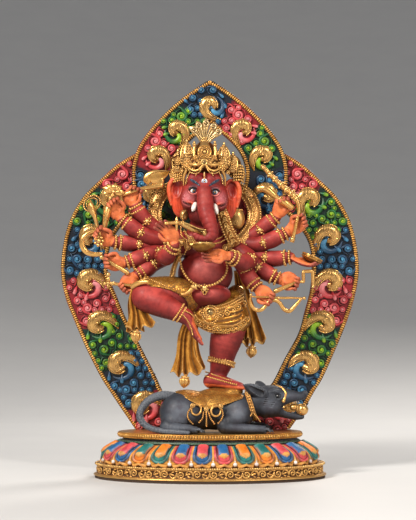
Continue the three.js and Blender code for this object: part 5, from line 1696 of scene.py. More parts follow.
def build_head():
    """The face with its ridged trunk, the eyes, the tusks and the hairs on the cheeks."""
    clay = Clay((-31, -52, 196), (22, 10, 270), FINE_VOXEL)
    clay.ball((-5, -13, 246), (19, 17, 18), 2)
    clay.ball((-16, -19, 238), (9.4, 10, 12), 4)
    clay.ball((6.4, -19, 237), (9.4, 10, 12), 4)
    clay.ball((-5, -15, 226), (14, 12, 12), 3)
    clay.ball((-5, -8, 212), (15, 10, 12), 3)
    clay.ball((-12.5, -23, 254), (8, 6.6, 6.5), 3)
    clay.ball((3, -23, 253.4), (8, 6.6, 6.5), 3)
    clay.ball((-16.5, -25, 232.6), (6.4, 5.6, 5), 2.5)
    clay.ball((7.4, -25, 231.4), (6.4, 5.6, 5), 2.5)
    trunk = smooth_path([(-5, -24, 250, 6.0), (-4.6, -29, 241, 6.6), (-4, -34, 232, 7.0),
        (-2.8, -39, 223, 6.8), (-0.4, -42, 215, 6.0), (1.6, -43.4, 208.6, 5.4), (0.6, -44.4, 203.4, 4.6),
        (-4.2, -45, 201.2, 3.9), (-9.6, -45.2, 202.6, 3.1), (-12.6, -45, 205.6, 2.4)], 130)
    wrinkle = 0.62 * np.abs(np.sin(np.linspace(0, 30 * math.pi, 130) / 2)) * np.linspace(0.5, 1.2, 130) - 0.2
    clay.tube(trunk[:, :3], trunk[:, 3] + wrinkle, 1.4, samples=130)
    for x, z, lean in ((-14.3, 243.6, -1), (4.2, 242.2, 1)):
        clay.ball((x, -31, z), (3.9, 3.4, 3.3), 0.8, cut=True)
        clay.ball((x, -25.4, z), (3.8, 3.4, 3.4), 0.2)
        for rise, thick in ((1, 0.9), (-1, 0.7)):
            arc = [(x + 4.3 * math.cos(turn), -27.6 - 1.0 * math.sin(turn), z + rise * 3.4 * math.sin(turn)
                    + lean * 0.9 * math.cos(turn)) for turn in np.linspace(0.1, math.pi - 0.1, 7)]
            clay.tube(arc, thick, 0.5)
    for x, z, side in ((-16.6, 231.6, -1), (7.6, 230.2, 1)):
        clay.tube([(x - side * 1.4, -30.6, z - 1.0), (x + side * 2.0, -29.6, z + 0.4),
            (x + side * 5.4, -26, z + 2.4)], 0.9, 1.0, cut=True)
        clay.tube([(x - side * 2.6, -31, z + 1.0), (x, -31, z + 2.0), (x + side * 4, -28, z + 3.4)], 0.9, 0.8)
        clay.ball((x - side * 3.4, -32, z - 1.2), (2.7, 2.6, 2.6), 0.8)
    for line in range(6):
        z = 246 - line * 0.2
        spread = 3.4 + line * 2.2
        clay.tube([(-5 - spread * 0.2, -34, z + 6 + line), (-5 + spread * 0.2, -34, z + 6 + line)], 0.25,
            0.4, cut=True)
    # Painted light: the pink patches on the cheeks are painted highlights, and the dark patch under the jaw
    # is painted shade.
    tint = painted(SKIN, ((-19, -27, 237), (6.5, 8, 8), srgb(214, 120, 124), 0.75),
        ((9.8, -27, 236), (6.5, 8, 8), srgb(214, 120, 124), 0.75),
        ((-5, -38, 236), (5, 8, 14), srgb(176, 92, 84), 0.45), ((-17, -31, 233), (4, 4, 3), LIP, 1.0),
        ((8, -31, 231.6), (4, 4, 3), LIP, 1.0), ((-18, -29, 231), (4.6, 4, 1.5), srgb(96, 12, 18), 0.95),
        ((10, -28, 230), (4.6, 4, 1.5), srgb(96, 12, 18), 0.95),
        ((-5, -20, 220), (16, 12, 8), SKIN_SHADE, 0.8), ((-5, -30, 258), (18, 9, 6), srgb(150, 22, 28), 0.8),
        ((-14.3, -29, 247.2), (5, 4, 1.6), BROW_BLUE, 0.7),
        ((4.2, -29, 245.8), (5, 4, 1.6), BROW_BLUE, 0.7))
    clay.piece("head_visual", tint, SKIN_PAINT, node="head")
    eyes = Kit()
    for x, z, look in ((-14.3, 243.6, 0.5), (4.2, 242.2, -0.2)):
        eyes.beads((x, -25.8, z), (3.4, 3.4, 2.9), srgb(240, 232, 222), sides=24, rings=16)
        for depth, size, thick, colour in ((-28.2, 1.9, 1.25, srgb(74, 104, 128)),
                (-28.7, 1.3, 1.05, srgb(22, 34, 52)), (-29.15, 0.8, 0.8, srgb(200, 150, 60)),
                (-29.55, 0.45, 0.5, BLACK)):
            eyes.beads((x + look, depth, z - 0.1), (size, thick, size), colour, sides=18, rings=12)
        for rise, colour, thick in ((1, BLACK * 1.6, 0.62), (-1, srgb(226, 128, 120), 0.45)):
            arc = [(x + 3.8 * math.cos(turn), -28.8 - 0.4 * math.sin(turn), z + rise * 2.9 * math.sin(turn))
                   for turn in np.linspace(0.15, math.pi - 0.15, 7)]
            eyes.tube(arc, (0.2, thick, thick, thick, thick, thick, 0.2), colour, sides=6)
    third = np.array((-4.8, front_of(clay, -4.8, 251.2), 251.2))
    for size, colour, rise in ((2.5, WHITE, 0.5), (1.9, srgb(110, 150, 190), 0.9), (1.4, WHITE, 1.1),
            (0.9, srgb(150, 110, 40), 1.5)):
        eyes.beads(third, (size, rise, size * 1.12), colour, sides=18, rings=10)
    for tip in (-1, 1):
        eyes.tube([third + (0, -0.2, 2.6 * tip), third + (0, -0.1, 4.2 * tip)], (0.9, 0.15),
            WHITE if tip < 0 else GOLD_PALE, sides=6)
    eyes.tube([third + (0, -0.4, 4.6), third + (0, -0.2, 7.8)], (0.75, 0.5), GOLD_PALE)
    for start, end in (((-17.6, 253.6), (-7.6, 246.8)), ((8.2, 253.0), (-1.4, 247.0))):
        for strand in range(5):
            share = np.linspace(0, 1, 7)
            x = start[0] + (end[0] - start[0]) * share
            bow = (2.2 - 0.55 * strand) * np.sin(share * math.pi) + (2 - strand) * 0.45 * (1 - share)
            z = start[1] + (end[1] - start[1]) * share + bow * 0.55
            path = [(a, front_of(clay, a, b) - 0.12, b) for a, b in zip(x, z)]
            eyes.tube(path, (0.15, 0.35, 0.42, 0.42, 0.4, 0.32, 0.12),
                BROW_BLUE * (1.0 + 0.25 * (strand % 2)), sides=5)
    eyes.piece("head_eyes", IVORY_PAINT)
    for name, root, tip, node in (("tusk_right_visual", (-12.4, -32.0, 231.4), (-14.6, -35.6, 226.0),
            "tusk_right"), ("tusk_left_visual", (3.8, -32.6, 230.0), (6.0, -36.4, 223.8), "tusk_left")):
        tusk = Kit()
        root, tip = np.array(root), np.array(tip)
        tusk.tube([root, root + (tip - root) * 0.4, root + (tip - root) * 0.8, tip], (2.5, 2.4, 1.9, 1.0),
            IVORY, sides=14)
        tusk.piece(name, IVORY_PAINT, 2, node=node)
    cheeks = Kit()
    for middle, side in (((-20, 236.5), -1), ((11, 235.2), 1)):
        for hair in range(22):
            turn = hair / 22 * 2 * math.pi
            path = []
            for reach in (2.0, 3.6, 5.2):
                x, z = middle[0] + reach * math.cos(turn) * 0.8, middle[1] + reach * math.sin(turn)
                path.append((x, front_of(clay, x, z) + 0.05, z))
            cheeks.tube(path, (0.1, 0.22, 0.08), srgb(226, 150, 150), sides=5)
    cheeks.piece("head_hairs", SKIN_PAINT)


def build_ear(name, node, middle, side):
    """A standing ear: a rolled rim round a deep red hollow, and a fluted lobe below."""
    x, y, z = middle
    clay = Clay((x - 13, y - 9, z - 22), (x + 13, y + 9, z + 22), FINE_VOXEL)
    clay.ball((x, y, z + 4), (7.0, 2.9, 12.8), 1)
    clay.ball((x - side * 2.2, y - 0.4, z - 8.5), (6.2, 3.0, 9.6), 2, turn=(0, side * 10, 0))
    rim_path = [(x - side * 5.8, y - 1, z + 2), (x - side * 5.8, y - 1.4, z + 10.4),
        (x - side * 1.4, y - 2.2, z + 15), (x + side * 3.8, y - 2.2, z + 13.6),
        (x + side * 6.5, y - 1.8, z + 7.6), (x + side * 6.0, y - 1.4, z), (x + side * 4.4, y - 1.2, z - 7)]
    clay.tube(rim_path, (1.4, 1.7, 2.0, 2.1, 2.0, 1.8, 1.3), 0.9)
    clay.ball((x - side * 0.2, y - 3.6, z + 7), (3.9, 3.0, 7.6), 1.2, turn=(0, -side * 6, 0), cut=True)
    for fold in range(6):
        start = np.array((x - side * 5.4 + side * fold * 1.9, y - 3.6, z - 0.5 - fold * 0.8))
        end = start + (-side * (1.2 - 0.1 * fold), 0.4, -13.6 + fold * 0.9)
        clay.tube([start, (start + end) / 2 + (side * 0.6, -0.4, 0), end], (0.5, 0.8, 0.7), 0.9, cut=True)
    tint = painted(EAR, ((x, y - 2, z + 7), (5.2, 3.4, 9.5), srgb(150, 16, 20), 1.1),
        ((x + side * 6, y - 3, z + 8), (3, 4, 9), srgb(240, 120, 70), 0.6))
    clay.piece(name, tint, EAR_PAINT, node=node, slot="ear_paint")


def leaf_finial(kit, foot, top, width):
    """A crown leaf: a cone of bead rows with a knob on top, backed by a curled leaf."""
    foot, top = np.asarray(foot, float), np.asarray(top, float)
    axis = top - foot
    across = unit(np.cross(axis, FRONT))
    out = unit(np.cross(across, axis))
    out = out if out[1] < 0 else -out
    kit.tube([foot, foot + axis * 0.4, foot + axis * 0.75, top - axis * 0.06],
        np.array([0.85, 1.0, 0.66, 0.28]) * width, GOLD_DEEP, side=tuple(out), thin=0.55, sides=12)
    for row in range(7):
        share = 0.06 + row * 0.115
        wide = width * (1.02 - 0.78 * share ** 1.4)
        count = max(2, int(round(wide / 0.85)))
        for i in range(count):
            place = (i - (count - 1) / 2) / max(count - 1, 1) * 2 * wide * 0.92
            swell = math.sqrt(max(0.0, 1 - (place / wide) ** 2)) * width * 0.55
            kit.beads(foot + axis * share + across * place + out * (swell + 0.1), (0.85, 0.8, 1.0),
                      GOLD_PALE if (row + i) % 2 else GOLD, sides=7, rings=5)
    for edge in (-1, 1):
        kit.tube([foot + across * edge * width, foot + axis * 0.45 + across * edge * width * 1.12,
            foot + axis * 0.8 + across * edge * width * 0.6, top - axis * 0.1], (0.7, 0.8, 0.7, 0.4), GOLD,
            sides=6)
    kit.stud(top - axis * 0.02, (1.15, 1.15, 1.7), sides=10)
    kit.beads(top - axis * 0.02 - unit(axis) * 1.9, (1.5, 1.5, 0.8), GOLD, sides=10, rings=6)


def rosette(kit, centre, facing, size):
    """A ring of petals round a boss."""
    centre, facing = np.asarray(centre, float), unit(facing)
    first = unit(np.cross(facing, (0.1, 0.2, 1)))
    second = np.cross(facing, first)
    kit.ring(centre, facing, size * 1.15, size * 0.16, GOLD, beads=size * 0.17)
    for turn in round_angles(8):
        out = first * math.cos(turn) + second * math.sin(turn)
        kit.tube([centre + out * size * 0.3 + facing * 0.3, centre + out * size * 0.75 + facing * 0.5,
            centre + out * size], np.array([0.16, 0.26, 0.1]) * size, GOLD, sides=6)
    kit.stud(centre + facing * 0.5, size * 0.34)


CROWN_MIDDLE, MEDALLION_MIDDLE = -4.8, -4.6


def build_crown():
    """The crown: a beaded cap with leaves, a medallion, swags and rosettes, under a crest of naga heads."""
    clay = Clay((-40, -38, 250), (34, 12, 292))
    clay.ball((-4.5, -12, 265), (24, 17, 7.5), 2)
    clay.ball((-4.5, -12, 270), (19.5, 15, 12), 3)
    clay.ball((-4.5, -12, 279), (9, 8, 10), 3)
    clay.ball((-27, -12, 268), (7.4, 8, 11), 2)
    clay.ball((21, -10, 266), (6.4, 7, 10), 2)
    clay.ball((25.4, -9, 260), (4.8, 5, 7), 1.6)
    clay.ball((-29, -10, 258), (5, 5, 6), 1.6)
    for fold in range(5):
        turn = -0.9 + fold * 0.42
        clay.tube([(25.4 + 4.6 * math.cos(turn) - 2, -14.4, 260 + 7 * math.sin(turn)),
                   (25.4 + 4.8 * math.cos(turn), -12, 260 + 7.4 * math.sin(turn)),
                   (25.4 + 5.0 * math.cos(turn), -7, 260 + 7.4 * math.sin(turn))], 0.45, 0.6, cut=True)
    clay.piece("crown_body", painted(GOLD_DEEP * 0.55), GILT, relief=6, node="crown")
    kit = Kit()
    for row, z in enumerate(np.arange(258.5, 276, 3.0)):
        reach = 25.5 - 0.07 * (z - 262) ** 2
        for x in np.arange(-4.8 - reach, -4.8 + reach, 3.4) + 1.7 * (row % 2):
            y = front_of(clay, x, z)
            if z > 263.5 or abs(x + 4.8) > 20:
                kit.beads((x, y - 0.5, z), 1.35, GOLD, sides=9, rings=6)
                kit.beads((x, y - 1.6, z), 0.6, GOLD_PALE, sides=7, rings=5)
    leaves = [((-27, -18, 262), (-27.5, -15, 280), 4.4), ((-19.4, -22, 267), (-20, -18, 288), 4.8),
              ((11.6, -22, 266), (12, -18, 285.5), 4.6), ((18.6, -18, 262), (20, -14, 278), 4.0)]
    for foot, top, width in leaves:
        leaf_finial(kit, foot, top, width)
    # The middle piece: a ringed medallion between two knobbed posts.
    for reach in (5.4, 4.1, 2.7):
        kit.ring((-4.6, -27.4 - (6.2 - reach) * 0.25, 277), (0, -1, 0.1), reach, 0.62, GOLD,
                 beads=0.6 if reach == 4.1 else 0)
    kit.stud((-4.6, -28.4, 277), (1.4, 1.0, 1.4))
    kit.tube([(-4.6, -21, 268), (-4.6, -24, 277), (-4.6, -21, 286)], (6.0, 6.6, 3.0), GOLD_DEEP, thin=0.5,
        sides=14)
    for side in (-1, 1):
        post = sided(MEDALLION_MIDDLE, side, [(2.4, -29, 267), (7.6, -28, 270.6), (9.2, -26.6, 276),
            (8.8, -25.6, 281.4)])
        kit.tube(post, (0.9, 1.2, 1.4, 1.5), GOLD, thin=0.8)
        kit.stud(sided(MEDALLION_MIDDLE, side, [(8.8, -25.4, 283.4), (8.8, -25.2, 285.2)]),
            [(1.9, 1.9, 1.1), (1.1, 1.1, 1.6)], sides=10)
        for row in range(4):
            count = 5 - row // 2
            for i in range(count):
                kit.beads((-4.6 + side * (1.4 + i * 1.35), -28.8 + 0.1 * i,
                    271.6 - row * 1.5 + (i % 2) * 0.5), 0.62, GOLD, sides=7, rings=5)
    # The headband with its swags over the forehead.
    band = [(-4.8 + 21.2 * math.sin(turn), -12.5 - 17.6 * math.cos(turn), 266.6 - 2.2 * (1 - math.cos(turn)))
            for turn in np.linspace(-1.25, 1.25, 11)]
    kit.bead_string(band, 0.8)
    for side in (-1, 1):
        for drop, size, colour in ((0.0, 0.95, GOLD), (-2.4, 0.55, GOLD_PALE)):
            swag = sided(CROWN_MIDDLE, side, [(1.2, -31.6, 265.4 + drop * 0.4),
                (4.4, -32.2, 261.4 + drop), (8.6, -31.2, 260.4 + drop), (12.6, -28.8, 262.6 + drop),
                (14.4, -26.6, 265.4 + drop * 0.4)])
            if drop:
                kit.bead_string(swag, size, colour)
            else:
                kit.tube(swag, size, colour, thin=0.8)
        kit.tube(sided(CROWN_MIDDLE, side, [(2, -31.4, 266.8), (7, -31.2, 265.4), (12.8, -28.4, 266.8)]),
            (0.9, 1.5, 0.9), GOLD, thin=0.7)
        kit.bead_string(sided(CROWN_MIDDLE, side, [(6.2, -31.8, 258.4), (7.4, -31.6, 256.2)]), 0.55,
            GOLD_PALE)
        kit.bead_string(sided(CROWN_MIDDLE, side, [(12.4, -28.4, 259.6), (14.6, -26.8, 255),
            (15.8, -25.4, 250)]), 0.7, GOLD_PALE)
        kit.tube(sided(CROWN_MIDDLE, side, [(15.2, -25.2, 262), (17.4, -22.6, 256), (17.6, -21, 249)]),
            (1.5, 1.3, 0.5), GOLD)
    kit.ring((CROWN_MIDDLE, -31.8, 267.6), (0, -1, 0), 2.3, 0.8, GOLD_PALE)
    kit.stud((CROWN_MIDDLE, -31.8, 267.6), (1.4, 0.8, 1.4), BLACK)
    for spot, facing, size in (((-19.4, -27.0, 266.4), (-0.55, -1, 0.05), 3.3),
            ((10.6, -27.4, 264.6), (0.5, -1, 0.05), 3.3), ((-27.4, -21.4, 270), (-0.7, -1, 0.2), 2.8),
            ((19.8, -18.8, 268), (0.8, -1, 0.2), 2.6), ((-31, -16.6, 262), (-1, -1, 0), 3.0),
            ((-12.6, -28.6, 272), (-0.2, -1, 0.3), 1.9), ((3.6, -28.6, 272), (0.2, -1, 0.3), 1.9)):
        rosette(kit, spot, facing, size)
    for x, y, z in ((-23.6, -24.4, 274.6), (-16, -26.4, 277), (7.4, -26.6, 276), (15.6, -23.2, 273),
            (-24.2, -23.6, 261.4), (-31.4, -17.4, 271), (-33, -13.4, 266), (15.4, -24.6, 259.8),
            (23.4, -14.6, 271.6), (-14.6, -27.4, 262.6)):
        kit.ring((x, y, z), (x * 0.03, -1, 0.2), 1.5, 0.5, GOLD, beads=0.5)
        kit.beads((x, y - 0.4, z), 0.9, GOLD_PALE, sides=8, rings=6)
    # Strings of beads bunched at the sides.
    for fold in range(6):
        share = fold / 5
        kit.bead_string([(20.4, -17, 266 - 12 * share),
            (26.4 + 1.6 * math.sin(share * 3), -14.6, 267 - 12.6 * share),
            (30.0 - 2.2 * abs(share - 0.45), -10, 265 - 11.6 * share)], 1.15,
            GOLD if fold % 2 else GOLD_EDGE)
        kit.bead_string([(-24, -19, 263 - 9 * share), (-30, -17, 262 - 9 * share),
            (-34.4 + 1.6 * share, -12, 260 - 7 * share)], 1.0, GOLD if fold % 2 else GOLD_EDGE)
    kit.piece("crown_work", GILT, 3)

    kit = Kit()
    root = np.array((-4.8, -14.6, 285.5))
    for x, z, tip_x, tip_z in ((-13.6, 297.8, -18.2, 300.6), (-9.6, 301.4, -11.4, 305.6),
            (-3.4, 303.2, -3.4, 308.0), (3.0, 300.4, 4.6, 304.8), (7.4, 295.8, 10.6, 297.8)):
        middle = np.array((x, -15.4, z))
        tip = np.array((tip_x, -14.6, tip_z))
        kit.tube([root + (0.18 * (x + 4.8), 0, 0), root + (middle - root) * 0.5,
            middle - (middle - root) * 0.16, middle, (middle + tip) / 2, tip],
            (1.3, 1.7, 2.6, 3.2, 2.4, 0.5), srgb(222, 188, 128), thin=0.42, sides=12)
        kit.ring(middle + (0, -1.5, 0), FRONT, 2.1, 0.6, srgb(240, 222, 180))
        kit.stud(middle + (0, -1.7, 0), (1.4, 0.9, 1.4), srgb(60, 36, 32))
        for shift in (-0.9, 0.9):
            kit.tube([root + (0.18 * (x + 4.8) + shift * 0.5, -1.3, 0.6),
                root + (middle - root) * 0.45 + (shift, -1.3, 0),
                middle - (middle - root) * 0.22 + (shift * 1.4, -1.4, 0)], (0.35, 0.5, 0.35),
                srgb(240, 220, 170), sides=6)
    for row in range(4):
        kit.stud((-4.8, -17.2, 283.6 + row * 2.2), (2.2 - 0.3 * row, 1.5, 1.3), srgb(226, 190, 120))
        for side in (-1, 1):
            kit.tube([(-4.8 + side * 1.0, -17.6, 282.6 + row * 2.2),
                (-4.8 + side * (3.4 - 0.4 * row), -17.2, 284.4 + row * 2.2)], (0.7, 0.35), GOLD, sides=6)
    kit.piece("naga_visual", GILT, 3, node="naga_crest")


def build_neck_work():
    """Earrings, ribbons and strings beside the trunk."""
    kit = Kit()
    kit.beads([(23.4, -9, 221.4)], [(6.6, 5.2, 9.4)], BRONZE, sides=28, rings=20)
    kit.ring((23.4, -9, 229.0), (0, 0, 1), (4.4, 3.4), 0.8, GOLD, beads=0.8)
    for turn in range(3):
        flat = spiral(1.2, 2.2, 0.5, turn * 2.1, 1, 12)
        centre = np.array((22.0 + 1.6 * turn, -14.0 + 0.6 * turn, 217.4 + 3.4 * turn))
        kit.tube(np.column_stack([centre[0] + flat[:, 0], np.full(12, centre[1]),
            centre[2] + flat[:, 1]]), 0.35, GOLD_PALE, sides=5)
    kit.beads([(-22.4, -16, 224)], [(3.6, 3.4, 4.6)], BRONZE, sides=18, rings=12)
    kit.bead_string([(-20, -20, 229), (-23.4, -19.6, 222), (-21.4, -21, 215)], 0.8)
    brocade(kit, [(9.6, -23.4, 229), (12.4, -24.6, 219), (16, -23.8, 209), (22, -21, 198)], FRONT, 4.3, 4.6)
    for row in range(4):
        kit.bead_string([(-21 + row * 1.2, -23.4, 207.6 - row * 1.6), (-17.4, -27, 204.8 - row * 1.6),
            (-12.6, -29, 204.6 - row * 1.2)], 0.75, GOLD if row % 2 else GOLD_PALE)
    kit.bead_string([(-20, -23, 202), (-19.4, -25, 196), (-21.6, -25, 190)], 0.9)
    kit.piece("neck_work", GILT, 3)


build_head()
build_ear("ear_right_visual", "ear_right", (-28.6, -12, 240.5), -1)
build_ear("ear_left_visual", "ear_left", (18.8, -12, 238.5), 1)
build_crown()
build_neck_work()


# ---------------------------------------------------------------- arms and hands

def blade(kit, outline, front, thick, tint, ridge, middle):
    """A flat bevelled plate from an outline in X and Z, with its ridge along the points called middle."""
    outline = np.asarray(outline, float)
    count = len(outline)
    middle = np.asarray(middle, float)
    nearest = np.array([middle[np.argmin(np.linalg.norm(middle - point, axis=1))] for point in outline])
    inner = outline * 0.55 + nearest * 0.45
    layers = [(outline, front + thick * 0.5), (inner, front - ridge * 0.6),
        (inner * 0.2 + nearest * 0.8, front - ridge)]
    points = [np.column_stack([flat[:, 0], np.full(count, y), flat[:, 1]]) for flat, y in layers]
    points += [np.column_stack([outline[:, 0], np.full(count, front + thick * 0.6), outline[:, 1]])]
    points += [np.column_stack([flat[:, 0], np.full(count, 2 * front + thick * 1.1 - y), flat[:, 1]])
        for flat, y in layers[1:]]
    order = [2, 1, 0, 3, 4, 5]
    points = [points[i] for i in order]
    i = np.arange(count)
    j = (i + 1) % count
    quads = np.vstack([np.stack([i + a * count, j + a * count, j + (a + 1) * count, i + (a + 1) * count],
        1) for a in range(5)])
    centres = np.array([points[0].mean(0), points[-1].mean(0)])
    fans = np.vstack([np.stack([np.full(count, 6 * count), j, i], 1),
                      np.stack([np.full(count, 6 * count + 1), i + 5 * count, j + 5 * count], 1)])
    area = np.sum(outline[:, 0] * np.roll(outline[:, 1], -1) - np.roll(outline[:, 0], -1) * outline[:, 1])
    if area > 0:
        quads, fans = quads[:, ::-1], fans[:, ::-1]
    kit.add(np.vstack([*points, centres]), [quads, fans], tint)


def hand(clay, wrist, palm, tip, facing, curl, thumb):
    """A palm with four fingers that curl towards facing, and a thumb on one side.

    Returns the ways that the palm faces and the fingers point."""
    wrist, palm, tip = (np.asarray(point, float) for point in (wrist, palm, tip))
    fingers = unit(tip - palm)
    facing = unit(np.asarray(facing, float) - fingers * (np.asarray(facing, float) @ fingers))
    across = unit(np.cross(fingers, facing)) * thumb
    clay.tube([wrist, (wrist + palm) / 2, palm - fingers * 1.0, palm + fingers * 3.2],
              (4.1, 5.4, 6.9, 6.0), 1.2, flat=(facing, 0.4))
    clay.ball(palm + across * 3.0 - fingers * 1.5 + facing * 0.8, (2.9, 2.6, 2.9), 1.4)
    clay.ball(palm + facing * 4.4, (3.8, 2.2, 3.8), 1.5, cut=True)
    for number, (offset, length) in enumerate(((3.9, 10.5), (1.4, 11.8), (-1.2, 11.2), (-3.7, 9.2))):
        start = palm + (fingers * 3.2 + across * offset * 0.98)
        heading = unit(fingers + across * offset * 0.055)
        path, turn = [start - heading * 1.5, start], 0.0
        for part, bend in ((0.42, 28), (0.32, 52), (0.26, 42)):
            turn += math.radians(bend) * curl * (1 + 0.14 * number)
            path.append(path[-1] + (heading * math.cos(turn) + facing * math.sin(turn)) * length * part)
        clay.tube(path, (1.9, 1.9, 1.75, 1.6, 1.2), 0.35)
    start = palm + (across * 4.8 - fingers * 2.6)
    path = [start, start + (across * 3.0 + fingers * 2.6 + facing * 1.0),
            start + (across * (3.6 - 1.6 * curl) + fingers * 6.2 + facing * (1.6 + 2.2 * curl)),
            start + (across * (3.0 - 3.4 * curl) + fingers * 9.0 + facing * (1.8 + 3.0 * curl))]
    clay.tube(path, (2.0, 1.75, 1.5, 1.0), 0.5)
    return facing, fingers


def build_arm(name, path, palm, tip, facing, curl, thumb):
    """An arm from shoulder to wrist with its hand, an armlet and a pair of beaded bangles."""
    path = np.array(path, float)
    everything = np.vstack([path, [palm], [tip]])
    clay = Clay(everything.min(0) - 13, everything.max(0) + 13)
    clay.tube(path[:3], (7.4, 7.2, 6.4), 1.5)
    clay.tube(path[2:], (6.4, 4.5), 3)
    clay.ball(path[2] * 0.62 + path[3] * 0.38, 6.2, 3)
    wrist = path[3]
    facing, fingers = hand(clay, wrist, palm, tip, facing, curl, thumb)
    palm = np.asarray(palm, float)
    forearm = unit(path[3] - path[2])
    # Painted light: pale patches on the forearm and upper arm are painted highlights, and dark ones at the
    # shoulder and the wrist are painted shade.
    forearm_highlight = path[2] * 0.55 + path[3] * 0.45 + np.array((0, -6, 3.5))
    upper = (path[1] + path[2]) / 2 + np.array((0, -6, 3))
    arm_tint = painted(SKIN, (forearm_highlight, (8, 7, 6), SKIN_HIGHLIGHT, 0.75), (upper, (8, 7, 6), SKIN_HIGHLIGHT, 0.45),
        (path[0] + (0, -5, 0), (9, 9, 9), SKIN_SHADE, 0.45), (wrist, (5.5, 6, 5.5), SKIN_SHADE, 0.55))

    def tint(points, normals):
        colour = arm_tint(points, normals)
        reach = (points - wrist) @ fingers
        on_hand = (np.linalg.norm(points - palm, axis=1) < 19) & ((points - wrist) @ unit(palm - wrist) > 1.5)
        inside = (normals @ facing > 0.12) | ((normals @ facing > -0.25) & ((points - palm) @ facing > 1.0))
        back = on_hand & ~inside & (reach > 0)
        colour = np.where(back[:, None], colour * 0.4 + HAND_DARK * 0.6, colour)
        colour = np.where((on_hand & inside)[:, None], PALM, colour)
        tips = np.clip(((points - palm) @ fingers - 5.0) / 6.0, 0, 0.8) * on_hand
        return colour * (1 - tips[:, None]) + HAND_DARK * tips[:, None]

    clay.piece(f"{name}_visual", tint, SKIN_PAINT, node=name)
    kit = Kit()
    for shift, radius in ((0.6, 5.6), (4.8, 6.3)):
        kit.ring(wrist - forearm * shift, forearm, radius, 1.2, GOLD, beads=1.2)
    top = unit(FRONT * 0.75 + np.array((0, 0, 1)) * 0.8)
    stud = wrist - forearm * 6.4 + unit(top - forearm * (top @ forearm)) * 5.6
    kit.stud([stud, stud - forearm * 1.9], [(1.5, 1.4, 1.5), (0.9, 0.9, 0.9)], sides=10)
    for side in (-1, 1):
        kit.beads(stud + forearm * 1.6 + np.cross(forearm, top) * 1.5 * side, 0.9, GOLD)
    spot = path[1] * 0.5 + path[2] * 0.5
    along = unit(path[2] - path[1])
    jewel = spot + unit(FRONT - along * (FRONT @ along)) * 7.0
    kit.stud(jewel, (2.0, 1.3, 2.0), sides=10)
    for angle in round_angles(6):
        kit.beads(jewel + (2.6 * math.cos(angle), 0.4, 2.6 * math.sin(angle)), 0.95)
    across_arm = unit(np.cross(along, FRONT))
    for turn in np.linspace(-0.7, 0.7, 6):
        out = math.cos(turn) * unit(FRONT - along * (FRONT @ along)) + math.sin(turn) * across_arm
        kit.beads(spot + out * 7.1, 0.85)
    kit.piece(f"{name}_beads", GILT, 3)


# Each arm: shoulder to wrist, the palm's middle, where the fingers point, facing, curl and thumb side.
RIGHT_ARMS = [([(-28, -14, 196), (-40, -20, 190), (-37, -30, 187), (-30, -38, 197)], (-33, -41, 206),
    (-41, -42, 215), (0.35, -0.5, -0.75), 0.25, -1),
    ([(-36, -2, 206), (-50, -5, 215), (-60, -8, 225), (-64.5, -10, 233)], (-68, -11.5, 240.5),
    (-61, -12, 250), FRONT, 0.75, 1), ([(-38, -6, 202), (-54, -10, 206), (-66, -12, 213),
    (-75.5, -13, 220.5)], (-81, -14, 229), (-85, -14, 240), FRONT, 0.9, 1),
    ([(-38, -3, 198), (-55, -6, 199), (-69, -9, 200), (-82, -12, 201)], (-91, -14, 205), (-97, -14, 213),
    (-0.35, -1, 0), 0.9, 1), ([(-38, -6, 194), (-51, -11, 191), (-61, -13, 187), (-71.5, -14, 183.5)],
    (-82, -15.5, 183), (-93, -16, 185), FRONT, 0.9, 1),
    ([(-36, -4, 190), (-47, -8, 184), (-54, -12, 178), (-62, -14, 173)], (-70, -15.5, 166.5),
    (-76, -16, 158), FRONT, 0.9, -1),]
LEFT_ARMS = [([(24, -14, 194), (34, -22, 186), (28, -33, 182), (17, -41, 187)], (6, -46, 187.5),
    (-6, -49, 185), (0, -0.85, 0.6), 0.3, -1), ([(30, -2, 204), (40, -5, 209), (48.5, -8, 216),
    (56.5, -10, 222.5)], (61, -12, 231), (62, -12.5, 242), FRONT, 0.9, 1),
    ([(32, -6, 200), (41, -9, 199), (53, -12, 203), (65, -13, 208.5)], (75, -14, 215.5), (83, -15, 221),
    FRONT, 0.85, -1), ([(32, -3, 194), (42, -6, 189), (55, -9, 187), (69, -12, 188)], (79, -15, 183.5),
    (90, -16, 179.5), (0.3, -0.25, 0.95), 0.3, -1),
    ([(30, -6, 190), (38, -10, 182), (47, -12, 175.5), (58, -13, 169.5)], (68, -14, 168.5), (78, -15, 163),
    FRONT, 0.85, 1), ([(26, -10, 186), (30, -14, 178), (33.5, -18, 170), (40, -20, 162)], (46.5, -22, 156),
    (54, -22.5, 149.5), FRONT, 0.9, 1),]


# ---------------------------------------------------------------- attributes

def knob(kit, centre, axis, size, tint=GOLD_PALE):
    """A turned knob: a ball between two collars."""
    centre, axis = np.asarray(centre, float), unit(axis)
    kit.stud(centre, size, tint)
    for side in (-1, 1):
        kit.ring(centre + axis * side * size * 0.9, axis, size * 0.7, size * 0.22, GOLD, around=16)


def lotus_star(kit, centre, tips, front, width):
    """Leaves that spread from a centre, each with a raised vein."""
    for x, z in tips:
        middle = np.array(((centre[0] + x) / 2, front - 0.8, (centre[1] + z) / 2))
        root, tip = np.array((centre[0], front, centre[1])), np.array((x, front - 0.4, z))
        kit.tube([root, middle, tip], (width * 0.5, width, 0.4), GOLD, thin=0.4, sides=10, samples=14)
        kit.tube([root + (0, -1.2, 0), middle + (0, -width * 0.4, 0), tip + (0, -0.4, 0)],
            (0.4, 0.5, 0.25), GOLD_PALE, sides=6)
    kit.stud((centre[0], front - 1.6, centre[1]), 1.6, sides=10)


